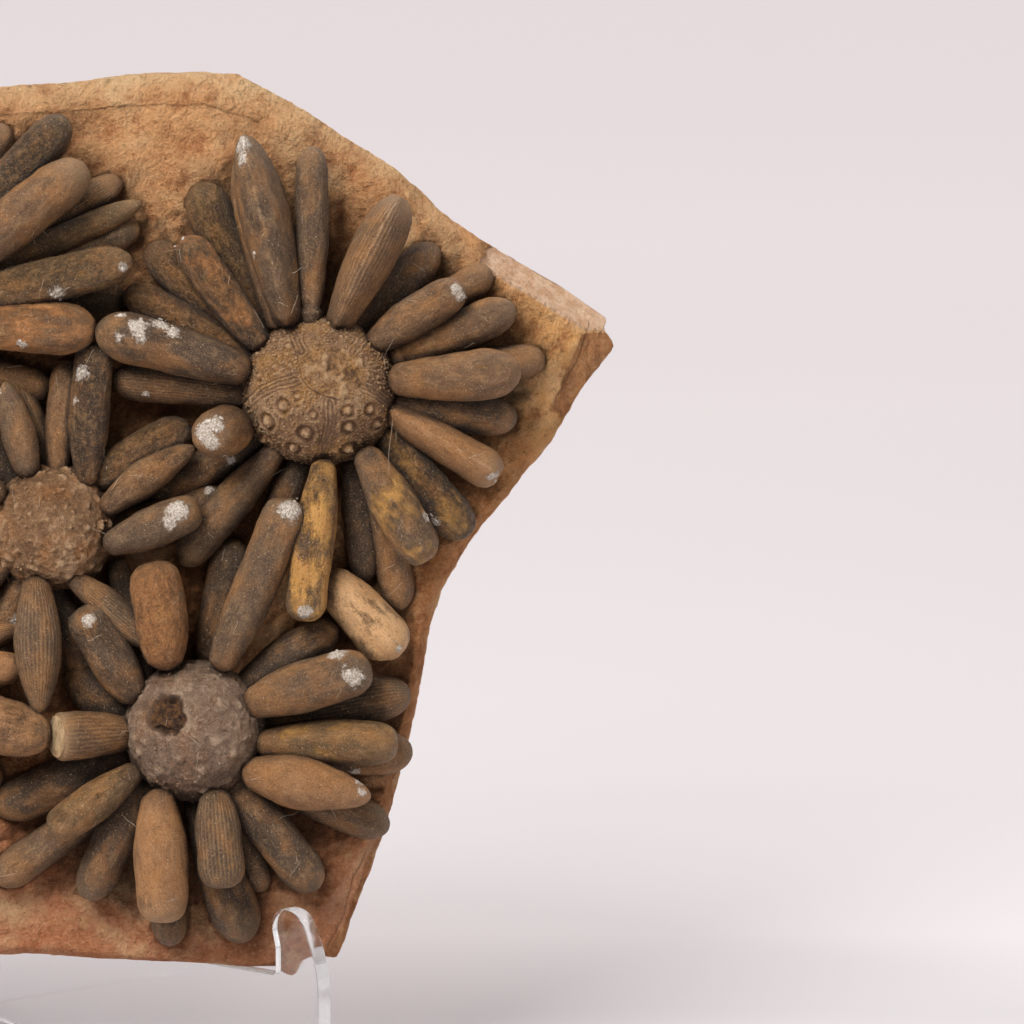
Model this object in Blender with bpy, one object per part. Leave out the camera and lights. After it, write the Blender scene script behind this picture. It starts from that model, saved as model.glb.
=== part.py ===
"""Slab of fossil club-spined sea urchins, standing in a clear stand of two crossed plates.

Metres, +Z up. The origin is on the ground under the middle of the whole object, and the face of
the slab looks towards -Y. The stone and its urchins are modelled flat in the slab's own frame,
u to the right, v up the face and n out of it, which then leans back in the stand.
"""

from collections import namedtuple
from math import acos, atan2, cos, pi, radians, sin, tan

import bmesh
import bpy
from mathutils import Matrix, Vector, noise

MM = 0.001
GAP = 0.3 * MM  # between pieces that touch

# How the slab stands: its lower front edge is the frame's u axis.
LEAN = radians(10)
SHELF_HEIGHT = 38 * MM
ORIGIN_SHIFT = Vector((14.5 * MM, -46.8 * MM, 0))

# The stone. Its outline runs clockwise from the top, seen from the front, in mm of u and v.
SLAB_DEPTH = 32 * MM
SLAB_MIDDLE = Vector((-20 * MM, 115 * MM))
SLAB_OUTLINE = (
    (-25, 222), (-6, 223), (6, 225), (25, 226), (34, 225), (42, 221), (59, 210.5), (75, 200),
    (87, 189), (100, 180.5), (115, 172), (127, 163.5), (129, 157), (121, 147), (112.5, 133),
    (102.5, 120.5), (92.5, 108), (85, 95.5), (81.5, 83), (79.5, 70.5), (76, 54), (71, 35.5),
    (62.5, 13), (59, 3), (54, 4), (51.5, 2.5), (50.5, -1), (48, -1), (46.5, 1), (36, 1),
    (25, 2), (0, 3), (-12.5, 4), (-30, 4), (-55, 3), (-80, 5), (-100, 3.5), (-115, 1.5),
    (-135, 1), (-144, 4), (-151, 13), (-150, 30), (-155, 47), (-152, 65), (-157, 83), (-158, 103),
    (-153, 122), (-154, 140), (-147, 157), (-136, 171), (-128, 186), (-113, 197), (-96, 206),
    (-80, 215), (-60, 219), (-42, 221),
)
# Loops of the stone from its flat face to its back: size of the loop, depth in mm, roughness in mm.
STONE_LOOPS = (
    (0.93, 0, 0), (0.975, 3, 1.2), (1.0, 9, 1.5), (0.992, 19, 2.5), (0.965, 28, 2), (0.9, 32, 0),
)

# The clubs: stations along a spine as (share of its length, share of its half width).
SPINE_SIDES = 6
LOW_SPINE_SIDES = 5
SPINE_STATIONS = ((0.0, 0.56), (0.28, 0.98), (0.78, 1.05), (0.965, 0.66))
BROKEN_STATIONS = ((0.0, 0.56), (0.28, 0.98), (0.78, 1.05), (0.99, 0.85))
SPINE_NECK = 8 * MM  # how far a spine's pointed root runs into its test
# Height of a spine's axis over the face, in mm, at its root and at its tip.
LAYERS = {
    "low": (4.5, 3),
    "mid": (9, 7),
    "high": (12.5, 12.5),
    "top": (15, 17),
    "out": (8, 27),
}

TEST_SEGMENTS = 12
TEST_RINGS = 8
TEST_KNOB = 0.035  # how far every other point of a test stands proud, as a share of its radius

Spine = namedtuple("Spine", "root_u root_v tip_u tip_v width layer stations", defaults=(SPINE_STATIONS,))
Urchin = namedtuple("Urchin", "name centre radius height lift color spines")

# Root and tip of each spine in mm from the middle of its test, then its width and its layer.
UPPER_RIGHT_SPINES = (
    Spine(-8, 18, -17, 63, 9.5, "top"),
    Spine(-11, 17, -21.5, 60, 8, "mid"),
    Spine(-2, 18, -2, 60.5, 8, "high"),
    Spine(5, 17, 20.5, 47.5, 11.5, "top"),
    Spine(10.5, 14, 29, 36.5, 10, "low"),
    Spine(14, 12, 36, 26, 10.5, "high"),
    Spine(13, 10, 42.5, 30.5, 8.5, "low"),
    Spine(19, 9, 48.5, 21, 9.5, "mid"),
    Spine(19, 3, 50, 5, 12.5, "top"),
    Spine(19, 2, 56, 8.5, 9.5, "low"),
    Spine(20, -3, 49, -7, 10, "mid"),
    Spine(19, -6, 44.5, -21, 10, "high"),
    Spine(17, -11, 37, -36, 10.5, "mid"),
    Spine(12, -16, 27, -42, 12, "top"),
    Spine(12, -14, 20, -54.5, 9.5, "low"),
    Spine(8, -18, 11, -47.5, 8.5, "low"),
    Spine(1.5, -19, -3.5, -57, 10, "top"),
    Spine(-5, -18, -13.5, -37.5, 8.5, "low"),
    Spine(-11, -15, -34.5, -43, 9.5, "mid"),
    Spine(-20, -8.5, -27, -11.5, 12, "out"),
    Spine(-15, -11, -42, -27, 9.5, "low"),
    Spine(-18, -1, -52, 3, 9.5, "mid"),
    Spine(-18.5, 5, -55, 15, 12.5, "top"),
    Spine(-18.5, 8.5, -48.5, 25, 9, "mid"),
    Spine(-17, 11, -43, 36.5, 11, "low"),
    Spine(-15, 12, -33.5, 38, 10, "high"),
    Spine(-13, 14, -30.5, 52, 12, "low"),
    Spine(1, -15, 18, -65.5, 12.5, "low"),
)
MIDDLE_SPINES = (
    Spine(9, 12, 11, 46, 9.5, "high"),
    Spine(1.5, 15, 4, 41.5, 8, "mid"),
    Spine(-6, 14, -11.5, 36, 9, "high"),
    Spine(-1, 14, -12, 41, 8, "low"),
    Spine(10.5, 12, 34, 25.5, 11, "mid"),
    Spine(14, 5, 35.5, 20, 9.5, "high"),
    Spine(15, -4, 37, 5, 10, "top"),
    Spine(14, 0, 43, 8, 9, "low"),
    Spine(6, -13, 25, -29, 8, "mid"),
    Spine(-3.5, -14, -2.5, -46.5, 11.5, "top"),
    Spine(-8, -12, -18, -36, 9, "low"),
    Spine(-12, -9, -34, -28, 9.5, "mid"),
    Spine(-15, -4, -42, -13, 10, "high"),
    Spine(-15, 2, -45, 6, 11, "mid"),
    Spine(-13, 8, -37, 24, 10, "top"),
    Spine(-11, 11, -27, 34, 9, "low"),
    Spine(0, -15, 8, -38, 8.5, "low"),
)
LOWER_SPINES = (
    Spine(7, 17, 24.5, 57.5, 11, "top"),
    Spine(3, 18, 9.5, 48, 10, "low"),
    Spine(-7, 17, -10, 42, 13.5, "top"),
    Spine(-12, 9, -20, 42.5, 6.5, "low"),
    Spine(-15, 9, -27.5, 31, 11.5, "high"),
    Spine(-17, 4, -32, 15, 11, "low"),
    Spine(12, 11, 35.5, 26, 9.5, "mid"),
    Spine(14.5, 7, 44, 16, 13, "top"),
    Spine(17, 2.5, 53.5, 9, 11, "low"),
    Spine(17, -3, 50.5, -3, 11, "high"),
    Spine(17, -6, 54, -6, 11.5, "low"),
    Spine(14, -10, 44, -16, 13, "top"),
    Spine(15, -12, 48, -25, 10, "low"),
    Spine(9.5, -13, 30.5, -39.5, 11.5, "mid"),
    Spine(5.5, -16, 7.5, -38.5, 11.5, "top"),
    Spine(8, -15, 16.5, -40.5, 7, "low"),
    Spine(1, -17, 12.5, -53, 12, "low"),
    Spine(-9, -16, -7.5, -47, 13, "top"),
    Spine(-7, -16, -6.5, -54, 8.5, "low"),
    Spine(-13, -14, -27, -42, 10.5, "mid"),
    Spine(-15, -10, -35, -24.5, 9.5, "top"),
    Spine(-14, -13, -50, -38, 10, "low"),
    Spine(-17, -7, -50, -20, 12, "low"),
    Spine(-17, -0.5, -34.5, -1, 12, "top", BROKEN_STATIONS),
)
UPPER_LEFT_SPINES = (
    Spine(14, 10, 49.5, 38, 13, "top"),
    Spine(12, 14, 44.5, 50, 10.5, "high"),
    Spine(15, 9, 57, 35.5, 8.5, "low"),
    Spine(16, 8, 62.5, 29.5, 7, "mid"),
    Spine(16, 6, 61.5, 24, 9, "low"),
    Spine(17, 5, 61, 14.5, 11, "top"),
    Spine(17, 1, 58.5, 6, 9, "low"),
    Spine(17, -1, 52, -2.5, 12.5, "top"),
    Spine(8, 16, 28.5, 49, 9, "low"),
    Spine(2, 17, 6, 47, 11, "high"),
    Spine(-5, 17, -14, 46, 10, "mid"),
    Spine(-10, 14, -30, 36, 10.5, "top"),
    Spine(-15, 9, -42, 22, 10, "mid"),
    Spine(-17, 3, -49, 6, 11.5, "top"),
    Spine(-17, -3, -48, -10, 9.5, "low"),
    Spine(-15, -8, -42, -22, 11, "high"),
    Spine(-10, -13, -28, -38, 10, "mid"),
    Spine(-4, -16, -10, -44, 11, "top"),
    Spine(3, -16, 6, -40, 9.5, "low"),
    Spine(8, -14, 22, -33, 10.5, "high"),
    Spine(14, -9, 40, -17, 9, "low"),
)
LOWER_LEFT_SPINES = (
    Spine(15, 8, 41.5, 16, 9, "mid"),
    Spine(17, 4, 45, 7, 11, "high"),
    Spine(17, -4, 50, -11.5, 13.5, "top"),
    Spine(12, 13, 30, 32, 9.5, "low"),
    Spine(4, 17, 9, 40, 10, "top"),
    Spine(-3, 17, -8, 44, 10.5, "mid"),
    Spine(-9, 14, -24, 40, 11, "high"),
    Spine(-14, 10, -38, 28, 10, "low"),
    Spine(-16, 5, -46, 15, 11.5, "top"),
    Spine(-17, -1, -48, -3, 10, "mid"),
    Spine(-16, -7, -42, -22, 11, "high"),
    Spine(-12, -12, -33, -38, 10, "top"),
    Spine(-7, -16, -18, -48, 10.5, "mid"),
    Spine(0, -17, 1, -49, 11.5, "top"),
    Spine(6, -16, 17, -46, 10, "low"),
    Spine(11, -13, 26, -38, 10.5, "high"),
    Spine(14, -9, 36, -24, 9, "low"),
)

# Test of each urchin: middle, radius, half height and lift of the middle over the face, in mm.
URCHINS = (
    Urchin("urchin_upper_right", (55.25, 145), 19.5, 16.5, 7.5, (0.42, 0.30, 0.19), UPPER_RIGHT_SPINES),
    Urchin("urchin_lower", (24.25, 60.75), 17.5, 16, 8, (0.25, 0.20, 0.16), LOWER_SPINES),
    Urchin("urchin_middle", (-11, 111.25), 15.6, 15, 6.5, (0.36, 0.24, 0.13), MIDDLE_SPINES),
    Urchin("urchin_upper_left", (-51.5, 162.5), 16.5, 15, 7, (0.32, 0.22, 0.14), UPPER_LEFT_SPINES),
    Urchin("urchin_lower_left", (-60.5, 70.5), 17, 15.5, 7, (0.30, 0.22, 0.15), LOWER_LEFT_SPINES),
)
# The hole broken into the top of the lower urchin's test: middle in mm from the test's, and radius.
TEST_HOLE = (-5.8, 5, 22.5)
TEST_HOLE_RADIUS = 4.6 * MM

# The stand: two plates that cross behind the slab, half lapped near their tails.
PLATE_THICKNESS = 4 * MM
PLATE_ANGLE = radians(41)  # between each plate and the object's front to back axis
HOOK_U = 45.5 * MM  # where the right plate's hook meets its shelf
CROSSING_U = -45 * MM
SHELF_SLOPE = radians(7.3)
PLATE_TOP = 128 * MM
CROSSING_HEIGHT = 52 * MM  # of the plates where they cross
PLATE_END = 12 * MM  # how far a plate runs on past the crossing
PLATE_CLEARANCE = GAP + 0.5 * PLATE_THICKNESS * sin(PLATE_ANGLE)
FILLET_STEPS = 3


def remove_scene_objects():
    for scene_object in list(bpy.data.objects):
        bpy.data.objects.remove(scene_object, do_unlink=True)


def make_collection(name):
    collection = bpy.data.collections.new(name)
    bpy.context.scene.collection.children.link(collection)
    return collection


def make_material(name, color, roughness, alpha=1.0):
    material = bpy.data.materials.new(name)
    material.use_nodes = True
    shader = material.node_tree.nodes["Principled BSDF"]
    shader.inputs["Base Color"].default_value = (*color, 1)
    shader.inputs["Roughness"].default_value = roughness
    shader.inputs["Metallic"].default_value = 0
    shader.inputs["Transmission Weight"].default_value = 1 - alpha
    return material


def make_object(name, shape, collection):
    """An object from a bmesh, which is freed."""
    bmesh.ops.recalc_face_normals(shape, faces=shape.faces)
    mesh = bpy.data.meshes.new(name)
    shape.to_mesh(mesh)
    shape.free()
    made = bpy.data.objects.new(name, mesh)
    collection.objects.link(made)
    return made


def make_cutter(name, shape, cutters):
    cutter = make_object(name, shape, cutters)
    cutter.hide_render = True
    cutter.display_type = "WIRE"
    return cutter


def apply_boolean(body, operation, operand):
    """Join or cut the body with one object, or with every object of a collection."""
    step = body.modifiers.new(operation.lower(), "BOOLEAN")
    step.operation = operation
    step.solver = "EXACT"
    if isinstance(operand, bpy.types.Collection):
        step.operand_type = "COLLECTION"
        step.collection = operand
    else:
        step.object = operand
    evaluated = body.evaluated_get(bpy.context.evaluated_depsgraph_get())
    result = bpy.data.meshes.new_from_object(evaluated)
    body.modifiers.clear()
    body.data = result


def empty_collection(collection):
    for cutter in list(collection.objects):
        bpy.data.objects.remove(cutter, do_unlink=True)


def keep_largest_body(body):
    """Drop the crumbs that a cut leaves beside the main body."""
    shape = bmesh.new()
    shape.from_mesh(body.data)
    bodies = []
    unseen = set(shape.verts)
    while unseen:
        stack = [unseen.pop()]
        found = list(stack)
        while stack:
            for edge in stack.pop().link_edges:
                for vert in edge.verts:
                    if vert in unseen:
                        unseen.remove(vert)
                        stack.append(vert)
                        found.append(vert)
        bodies.append(found)
    bodies.sort(key=len)
    for crumbs in bodies[:-1]:
        bmesh.ops.delete(shape, geom=crumbs, context="VERTS")
    shape.to_mesh(body.data)
    shape.free()


def ring_number(unit_point, rings):
    """Which ring of a unit sphere a point is on, counted from the bottom pole."""
    return rings - round(acos(max(-1, min(1, unit_point.z))) / pi * rings)


def spine_shape(shape, urchin, spine, grow):
    """A club turned about the line from its root to its tip; grow widens it all round."""
    root_n, tip_n = LAYERS[spine.layer]
    middle_u, middle_v = urchin.centre
    root = Vector((middle_u + spine.root_u, middle_v + spine.root_v, root_n)) * MM
    tip = Vector((middle_u + spine.tip_u, middle_v + spine.tip_v, tip_n)) * MM
    axis = tip - root
    length = axis.length
    to_axis = Matrix.Translation(root) @ axis.to_track_quat("Z", "Y").to_matrix().to_4x4()
    rings = len(spine.stations) + 1
    sides = LOW_SPINE_SIDES if spine.layer == "low" else SPINE_SIDES
    ball = bmesh.ops.create_uvsphere(shape, u_segments=sides, v_segments=rings, radius=1)
    stations = [(-SPINE_NECK - grow, 0)]
    for share, width_share in spine.stations:
        stations.append((share * length, width_share * spine.width / 2 * MM + grow))
    stations.append((length + grow, 0))
    for vert in ball["verts"]:
        place, radius = stations[ring_number(vert.co, rings)]
        bearing = atan2(vert.co.y, vert.co.x)
        vert.co = to_axis @ Vector((radius * cos(bearing), radius * sin(bearing), place))


def test_shape(shape, urchin, grow):
    """The urchin's shell: a low dome with knobs in rows."""
    middle = Vector((*urchin.centre, urchin.lift)) * MM
    radius = urchin.radius * MM + grow
    height = urchin.height * MM + grow
    ball = bmesh.ops.create_uvsphere(shape, u_segments=TEST_SEGMENTS, v_segments=TEST_RINGS, radius=1)
    for vert in ball["verts"]:
        column = round((atan2(vert.co.y, vert.co.x) + pi) / (2 * pi) * TEST_SEGMENTS)
        ring = ring_number(vert.co, TEST_RINGS)
        inner_ring = 0 < ring < TEST_RINGS
        swell = 1 + TEST_KNOB * (-1) ** (column + ring) if inner_ring else 1
        vert.co = middle + Vector((vert.co.x * radius, vert.co.y * radius, vert.co.z * height)) * swell


def joined_urchin(urchin, grow, collection, pieces):
    """The test and its spines as one body; grow widens it all round."""
    shape = bmesh.new()
    test_shape(shape, urchin, grow)
    body = make_object(urchin.name, shape, collection)
    for spine in urchin.spines:
        shape = bmesh.new()
        spine_shape(shape, urchin, spine, grow)
        make_cutter("spine", shape, pieces)
    apply_boolean(body, "UNION", pieces)
    empty_collection(pieces)
    return body


def below_face_cutter(cutters):
    """A block that takes away what would lie inside the stone."""
    shape = bmesh.new()
    bmesh.ops.create_cube(shape, size=1)
    size = Vector((400, 400, 60)) * MM
    centre = Vector((0, 115 * MM, GAP - size.z / 2))
    bmesh.ops.scale(shape, vec=size, verts=shape.verts)
    bmesh.ops.translate(shape, vec=centre, verts=shape.verts)
    return make_cutter("inside_the_stone", shape, cutters)


def test_hole_cutter(urchin, cutters):
    shape = bmesh.new()
    bmesh.ops.create_uvsphere(shape, u_segments=10, v_segments=6, radius=TEST_HOLE_RADIUS)
    hole_u, hole_v, hole_n = TEST_HOLE
    place = Vector((urchin.centre[0] + hole_u, urchin.centre[1] + hole_v, hole_n)) * MM
    bmesh.ops.translate(shape, vec=place, verts=shape.verts)
    return make_cutter("hole_in_test", shape, cutters)


def room_cutter(urchin, cutters, pieces):
    """The urchin with a gap all round, to cut its neighbours clear of it."""
    room = joined_urchin(urchin, GAP, cutters, pieces)
    room.name = "room_for_" + urchin.name
    room.hide_render = True
    room.display_type = "WIRE"
    return room


def make_urchin(urchin, clear_of, parts, pieces):
    """One urchin, clear of the stone and of the urchins made before it."""
    body = joined_urchin(urchin, 0, parts, pieces)
    for cutter in clear_of:
        apply_boolean(body, "DIFFERENCE", cutter)
    keep_largest_body(body)
    body.data.materials.clear()
    body.data.materials.append(make_material(urchin.name, urchin.color, 0.85))
    return body


def make_urchins(parts, cutters, pieces):
    """The urchins in turn, each cut by the face of the stone and by those before it."""
    clear_of = [below_face_cutter(cutters)]
    made = []
    for urchin in URCHINS:
        holes = [test_hole_cutter(urchin, cutters)] if urchin.name == "urchin_lower" else []
        made.append(make_urchin(urchin, clear_of + holes, parts, pieces))
        clear_of.append(room_cutter(urchin, cutters, pieces))
    return made


def stone_loop(shape, size, depth, rough):
    """One closed loop of the stone's side, roughened by the same noise wherever it is rebuilt."""
    loop = []
    for u, v in SLAB_OUTLINE:
        corner = Vector((u, v)) * MM
        place = SLAB_MIDDLE + (corner - SLAB_MIDDLE) * size
        wobble = noise.noise(Vector((u * 0.06, v * 0.06, depth * 0.2)))
        inward = (SLAB_MIDDLE - corner).normalized() * max(0, wobble) * rough * MM
        sink = (depth + wobble * rough) * MM
        loop.append(shape.verts.new((place.x + inward.x, place.y + inward.y, -sink)))
    return loop


def make_stone(parts):
    """The slab: a loft through its loops, closed by a fan over its face and its back."""
    shape = bmesh.new()
    loops = [stone_loop(shape, *loop) for loop in STONE_LOOPS]
    front_middle = shape.verts.new((SLAB_MIDDLE.x, SLAB_MIDDLE.y, 0))
    back_middle = shape.verts.new((SLAB_MIDDLE.x, SLAB_MIDDLE.y, -SLAB_DEPTH))
    count = len(SLAB_OUTLINE)
    for index in range(count):
        following = (index + 1) % count
        shape.faces.new((front_middle, loops[0][index], loops[0][following]))
        shape.faces.new((back_middle, loops[-1][following], loops[-1][index]))
        for near, far in zip(loops, loops[1:]):
            shape.faces.new((near[index], far[index], far[following], near[following]))
    bmesh.ops.triangulate(shape, faces=shape.faces)
    stone = make_object("stone_slab", shape, parts)
    stone.data.materials.append(make_material("sandstone", (0.55, 0.36, 0.22), 0.9))
    return stone


def fillet(before, corner, after, radius):
    """Points of the arc that rounds one corner of an outline."""
    to_before = (before - corner).normalized()
    to_after = (after - corner).normalized()
    half_angle = to_before.angle(to_after) / 2
    reach = radius / tan(half_angle)
    centre = corner + (to_before + to_after).normalized() * radius / sin(half_angle)
    start = corner + to_before * reach - centre
    end = corner + to_after * reach - centre
    turn = start.angle_signed(end)
    points = []
    for step in range(FILLET_STEPS + 1):
        points.append(centre + Matrix.Rotation(-turn * step / FILLET_STEPS, 2) @ start)
    return points


def along_plate(depth):
    """Distance along a plate, from its hook's corner, of a place at this depth behind it."""
    return depth / cos(PLATE_ANGLE)


def slab_back_depth(height):
    """How far behind the hook's corner the leaning slab's back is at a height."""
    up_face = (height - SHELF_HEIGHT + SLAB_DEPTH * sin(LEAN)) / cos(LEAN)
    return up_face * sin(LEAN) + SLAB_DEPTH * cos(LEAN) + 2 * PLATE_CLEARANCE


def plate_outline():
    """The side view of one plate, as points along it and up from the ground."""
    shelf_end = along_plate(slab_back_depth(SHELF_HEIGHT))
    shelf_drop = shelf_end * cos(PLATE_ANGLE) * tan(SHELF_SLOPE)
    rest_top = along_plate(slab_back_depth(PLATE_TOP))
    tail = (crossing_reach() + PLATE_END) / MM
    tail_top = CROSSING_HEIGHT / MM
    corners = (
        (-17, 0, 1), (-17, 42, 24), (-10, 55.7, 7), (3.2, 55.7, 3.5), (0, 45, 6), (0, 38, 1.5),
        (shelf_end / MM, (SHELF_HEIGHT - shelf_drop) / MM, 2), (rest_top / MM, PLATE_TOP / MM, 4),
        (rest_top / MM + 15, PLATE_TOP / MM, 6), (tail - 34, tail_top + 6, 30),
        (tail, tail_top, 5), (tail, 0, 1),
    )
    points = []
    for index, (along, up, radius) in enumerate(corners):
        before = Vector(corners[index - 1][:2]) * MM
        after = Vector(corners[(index + 1) % len(corners)][:2]) * MM
        points += fillet(before, Vector((along, up)) * MM, after, radius * MM)
    return points


def crossing_reach():
    """Distance along a plate from its hook's corner to where it crosses the other."""
    return (HOOK_U - CROSSING_U) / sin(PLATE_ANGLE)


def place_plate(plate, side):
    """Stand a flat plate up: its hook's corner on one side, its tail towards the other."""
    plate.rotation_euler = (pi / 2, 0, pi / 2 + side * PLATE_ANGLE)
    hook_u = CROSSING_U + side * (HOOK_U - CROSSING_U)
    plate.location = ORIGIN_SHIFT + Vector((hook_u, -PLATE_CLEARANCE, 0))


def make_plate(name, side, parts, cutters):
    """A flat outline with half its thickness each side, slotted where the other plate crosses."""
    curve = bpy.data.curves.new(name, "CURVE")
    curve.dimensions = "2D"
    curve.fill_mode = "BOTH"
    curve.extrude = PLATE_THICKNESS / 2
    outline = plate_outline()
    spline = curve.splines.new("POLY")
    spline.points.add(len(outline) - 1)
    for point, place in zip(spline.points, outline):
        point.co = (place.x, place.y, 0, 1)
    spline.use_cyclic_u = True
    drawn = bpy.data.objects.new(name + "_outline", curve)
    cutters.objects.link(drawn)
    solid = bpy.data.meshes.new_from_object(drawn.evaluated_get(bpy.context.evaluated_depsgraph_get()))
    bpy.data.objects.remove(drawn, do_unlink=True)
    shape = bmesh.new()
    shape.from_mesh(solid)
    bmesh.ops.remove_doubles(shape, verts=shape.verts, dist=0.00001)
    plate = make_object(name, shape, parts)
    place_plate(plate, side)
    slot = slot_cutter(side, cutters)
    bpy.context.view_layer.update()
    apply_boolean(plate, "DIFFERENCE", slot)
    plate.data.materials.clear()
    plate.data.materials.append(make_material(name, (0.9, 0.92, 0.92), 0.05, 0.1))
    return plate


def slot_cutter(side, cutters):
    """Half the height of the other plate, with a gap all round: the half lap of the crossing."""
    half = CROSSING_HEIGHT / 2
    low_end = half - GAP / 2 if side > 0 else -half
    high_end = 3 * half if side > 0 else half + GAP / 2
    shape = bmesh.new()
    bmesh.ops.create_cube(shape, size=1)
    size = Vector((6 * PLATE_THICKNESS, high_end - low_end, PLATE_THICKNESS + 2 * GAP))
    bmesh.ops.scale(shape, vec=size, verts=shape.verts)
    middle = Vector((crossing_reach(), (low_end + high_end) / 2, 0))
    bmesh.ops.translate(shape, vec=middle, verts=shape.verts)
    slot = make_cutter("slot", shape, cutters)
    place_plate(slot, -side)
    return slot


def main():
    remove_scene_objects()
    parts = make_collection("fossil_sea_urchins")
    cutters = make_collection("cutters")
    pieces = make_collection("pieces_to_join")
    leaning = bpy.data.objects.new("slab_frame", None)
    leaning.location = ORIGIN_SHIFT + Vector((0, 0, SHELF_HEIGHT))
    leaning.rotation_euler = (pi / 2 - LEAN, 0, 0)
    parts.objects.link(leaning)
    make_stone(parts).parent = leaning
    for urchin in make_urchins(parts, cutters, pieces):
        urchin.parent = leaning
    make_plate("stand_plate_right", 1, parts, cutters)
    make_plate("stand_plate_left", -1, parts, cutters)
    bpy.data.collections.remove(pieces)
    for part in parts.objects:
        if part.type == "MESH":
            part.data.shade_flat()


main()
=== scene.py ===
"""Fossil club-spined sea urchins on a sandstone slab in a clear stand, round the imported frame.

The stone and its urchins are shaped flat in the slab's own frame, in millimetres: u to the right,
v up the face and n out of it. The finished meshes are then leant back into their place.
"""

from collections import namedtuple
from math import cos, pi, radians, sin, sqrt, tan

import bmesh
import bpy
import numpy as np
from mathutils import Matrix, Vector, noise
from mathutils.bvhtree import BVHTree
from mathutils.kdtree import KDTree


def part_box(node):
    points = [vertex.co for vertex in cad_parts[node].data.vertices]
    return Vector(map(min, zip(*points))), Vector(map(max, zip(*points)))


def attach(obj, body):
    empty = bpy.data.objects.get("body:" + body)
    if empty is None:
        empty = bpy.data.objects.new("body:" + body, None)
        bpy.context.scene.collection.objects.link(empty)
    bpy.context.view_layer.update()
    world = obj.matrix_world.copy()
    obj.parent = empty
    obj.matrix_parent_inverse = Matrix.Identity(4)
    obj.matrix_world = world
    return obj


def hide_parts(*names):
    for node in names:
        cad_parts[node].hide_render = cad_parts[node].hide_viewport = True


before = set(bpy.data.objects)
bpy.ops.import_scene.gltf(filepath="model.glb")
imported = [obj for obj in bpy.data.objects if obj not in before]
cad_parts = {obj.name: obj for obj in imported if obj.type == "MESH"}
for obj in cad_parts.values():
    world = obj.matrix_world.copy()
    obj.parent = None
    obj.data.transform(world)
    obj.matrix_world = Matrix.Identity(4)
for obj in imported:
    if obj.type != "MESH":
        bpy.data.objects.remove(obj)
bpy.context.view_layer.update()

MM = 0.001
# How far the slab leans back, and where the foot of its face lies in the stand.
LEAN = radians(10)
SHELF_HEIGHT = 38 * MM
ORIGIN_SHIFT = Vector((14.5 * MM, -46.8 * MM, 0))
SLAB_FRAME = (
    Matrix.Translation(ORIGIN_SHIFT + Vector((0, 0, SHELF_HEIGHT)))
    @ Matrix.Rotation(pi / 2 - LEAN, 4, "X")
)
FACE_TO_STAND = SLAB_FRAME @ Matrix.Diagonal((MM, MM, MM, 1))

# The stone: its outline from the front, clockwise from the top, and its depth.
SLAB_DEPTH = 32
SLAB_MIDDLE = Vector((-20, 115))
SLAB_OUTLINE = (
    (-25, 222), (-6, 223), (6, 225), (25, 226), (34, 225), (42, 221), (59, 210.5), (75, 200),
    (87, 189), (100, 180.5), (115, 172), (127, 163.5), (125.5, 160.8), (129, 157), (121, 147),
    (112.5, 133), (102.5, 120.5), (92.5, 108), (85, 95.5), (81.5, 83), (79.5, 70.5), (76, 54),
    (71, 35.5), (62.5, 13), (59, 3), (54, 4), (51.5, 2.5), (50.5, -1), (48, -1), (46.5, 1),
    (36, 1), (25, 2), (0, 3), (-12.5, 4), (-30, 4), (-55, 3), (-80, 5), (-100, 3.5),
    (-115, 1.5), (-135, 1), (-144, 4), (-151, 13), (-150, 30), (-155, 47), (-152, 65),
    (-157, 83), (-158, 103), (-153, 122), (-154, 140), (-147, 157), (-136, 171), (-128, 186),
    (-113, 197), (-96, 206), (-80, 215), (-60, 219), (-42, 221),
)
# Size of the stone's outline at each depth behind its face.
STONE_LOOPS = ((0.985, 0), (1.0, 3), (1.0, 18), (0.97, 27), (0.9, 32))
STONE_VOXEL = 1.25
# How far behind the face its broken edge, its crack lines and painted lip shadow, and its halo of
# stain and painted shade reach, and how deep the clubs and shells sink in.
EDGE_REACH, CRACK_AND_LIP_SHADOW_REACH, STAIN_AND_SHADE_REACH, SUNK_DEPTH = 14, 8, 6, 0.6

# Flakes broken off the edge: a line on the face, the slope behind it, its first drop and its tone.
Flake = namedtuple("Flake", "start end slope drop fresh")
FLAKES = (
    Flake((95, 176.8), (127.5, 156.9), 1.3, 0.3, 1),
    Flake((122, 162), (112.5, 141), 0.55, 0.9, -1),
    Flake((68, 36), (54, 14), 0.25, 0.9, 0.35),
    Flake((66, 29), (56, 3), 0.8, 1.5, -0.6),
)
# Cracks drawn across the face, and last a dark line under the top lip, which is a painted shadow.
CRACKS_AND_LIP_SHADOW = (
    ((66.5, 30), (63.5, 23), (61, 14.5), (57.5, 7), (56, 2)),
    ((122, 161), (119.5, 153), (114.5, 144)),
    ((-30, 214), (-12, 214.5), (8, 216.5), (26, 217), (38, 213)),
)

Club = namedtuple("Club", "root_u root_v tip_u tip_v width layer look")
Urchin = namedtuple("Urchin", "name centre radius height lift shell clubs")

# Height of a club's axis over the face at its root and at its tip.
LAYERS = {
    "low": (4.5, 3),
    "mid": (9, 7),
    "high": (12.5, 12.5),
    "top": (15, 17),
    "raised": (10, 19),
    "out": (8, 27),
}
# How far each root runs on beneath the rim of its shell.
ROOT_REACH = 2.0
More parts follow.
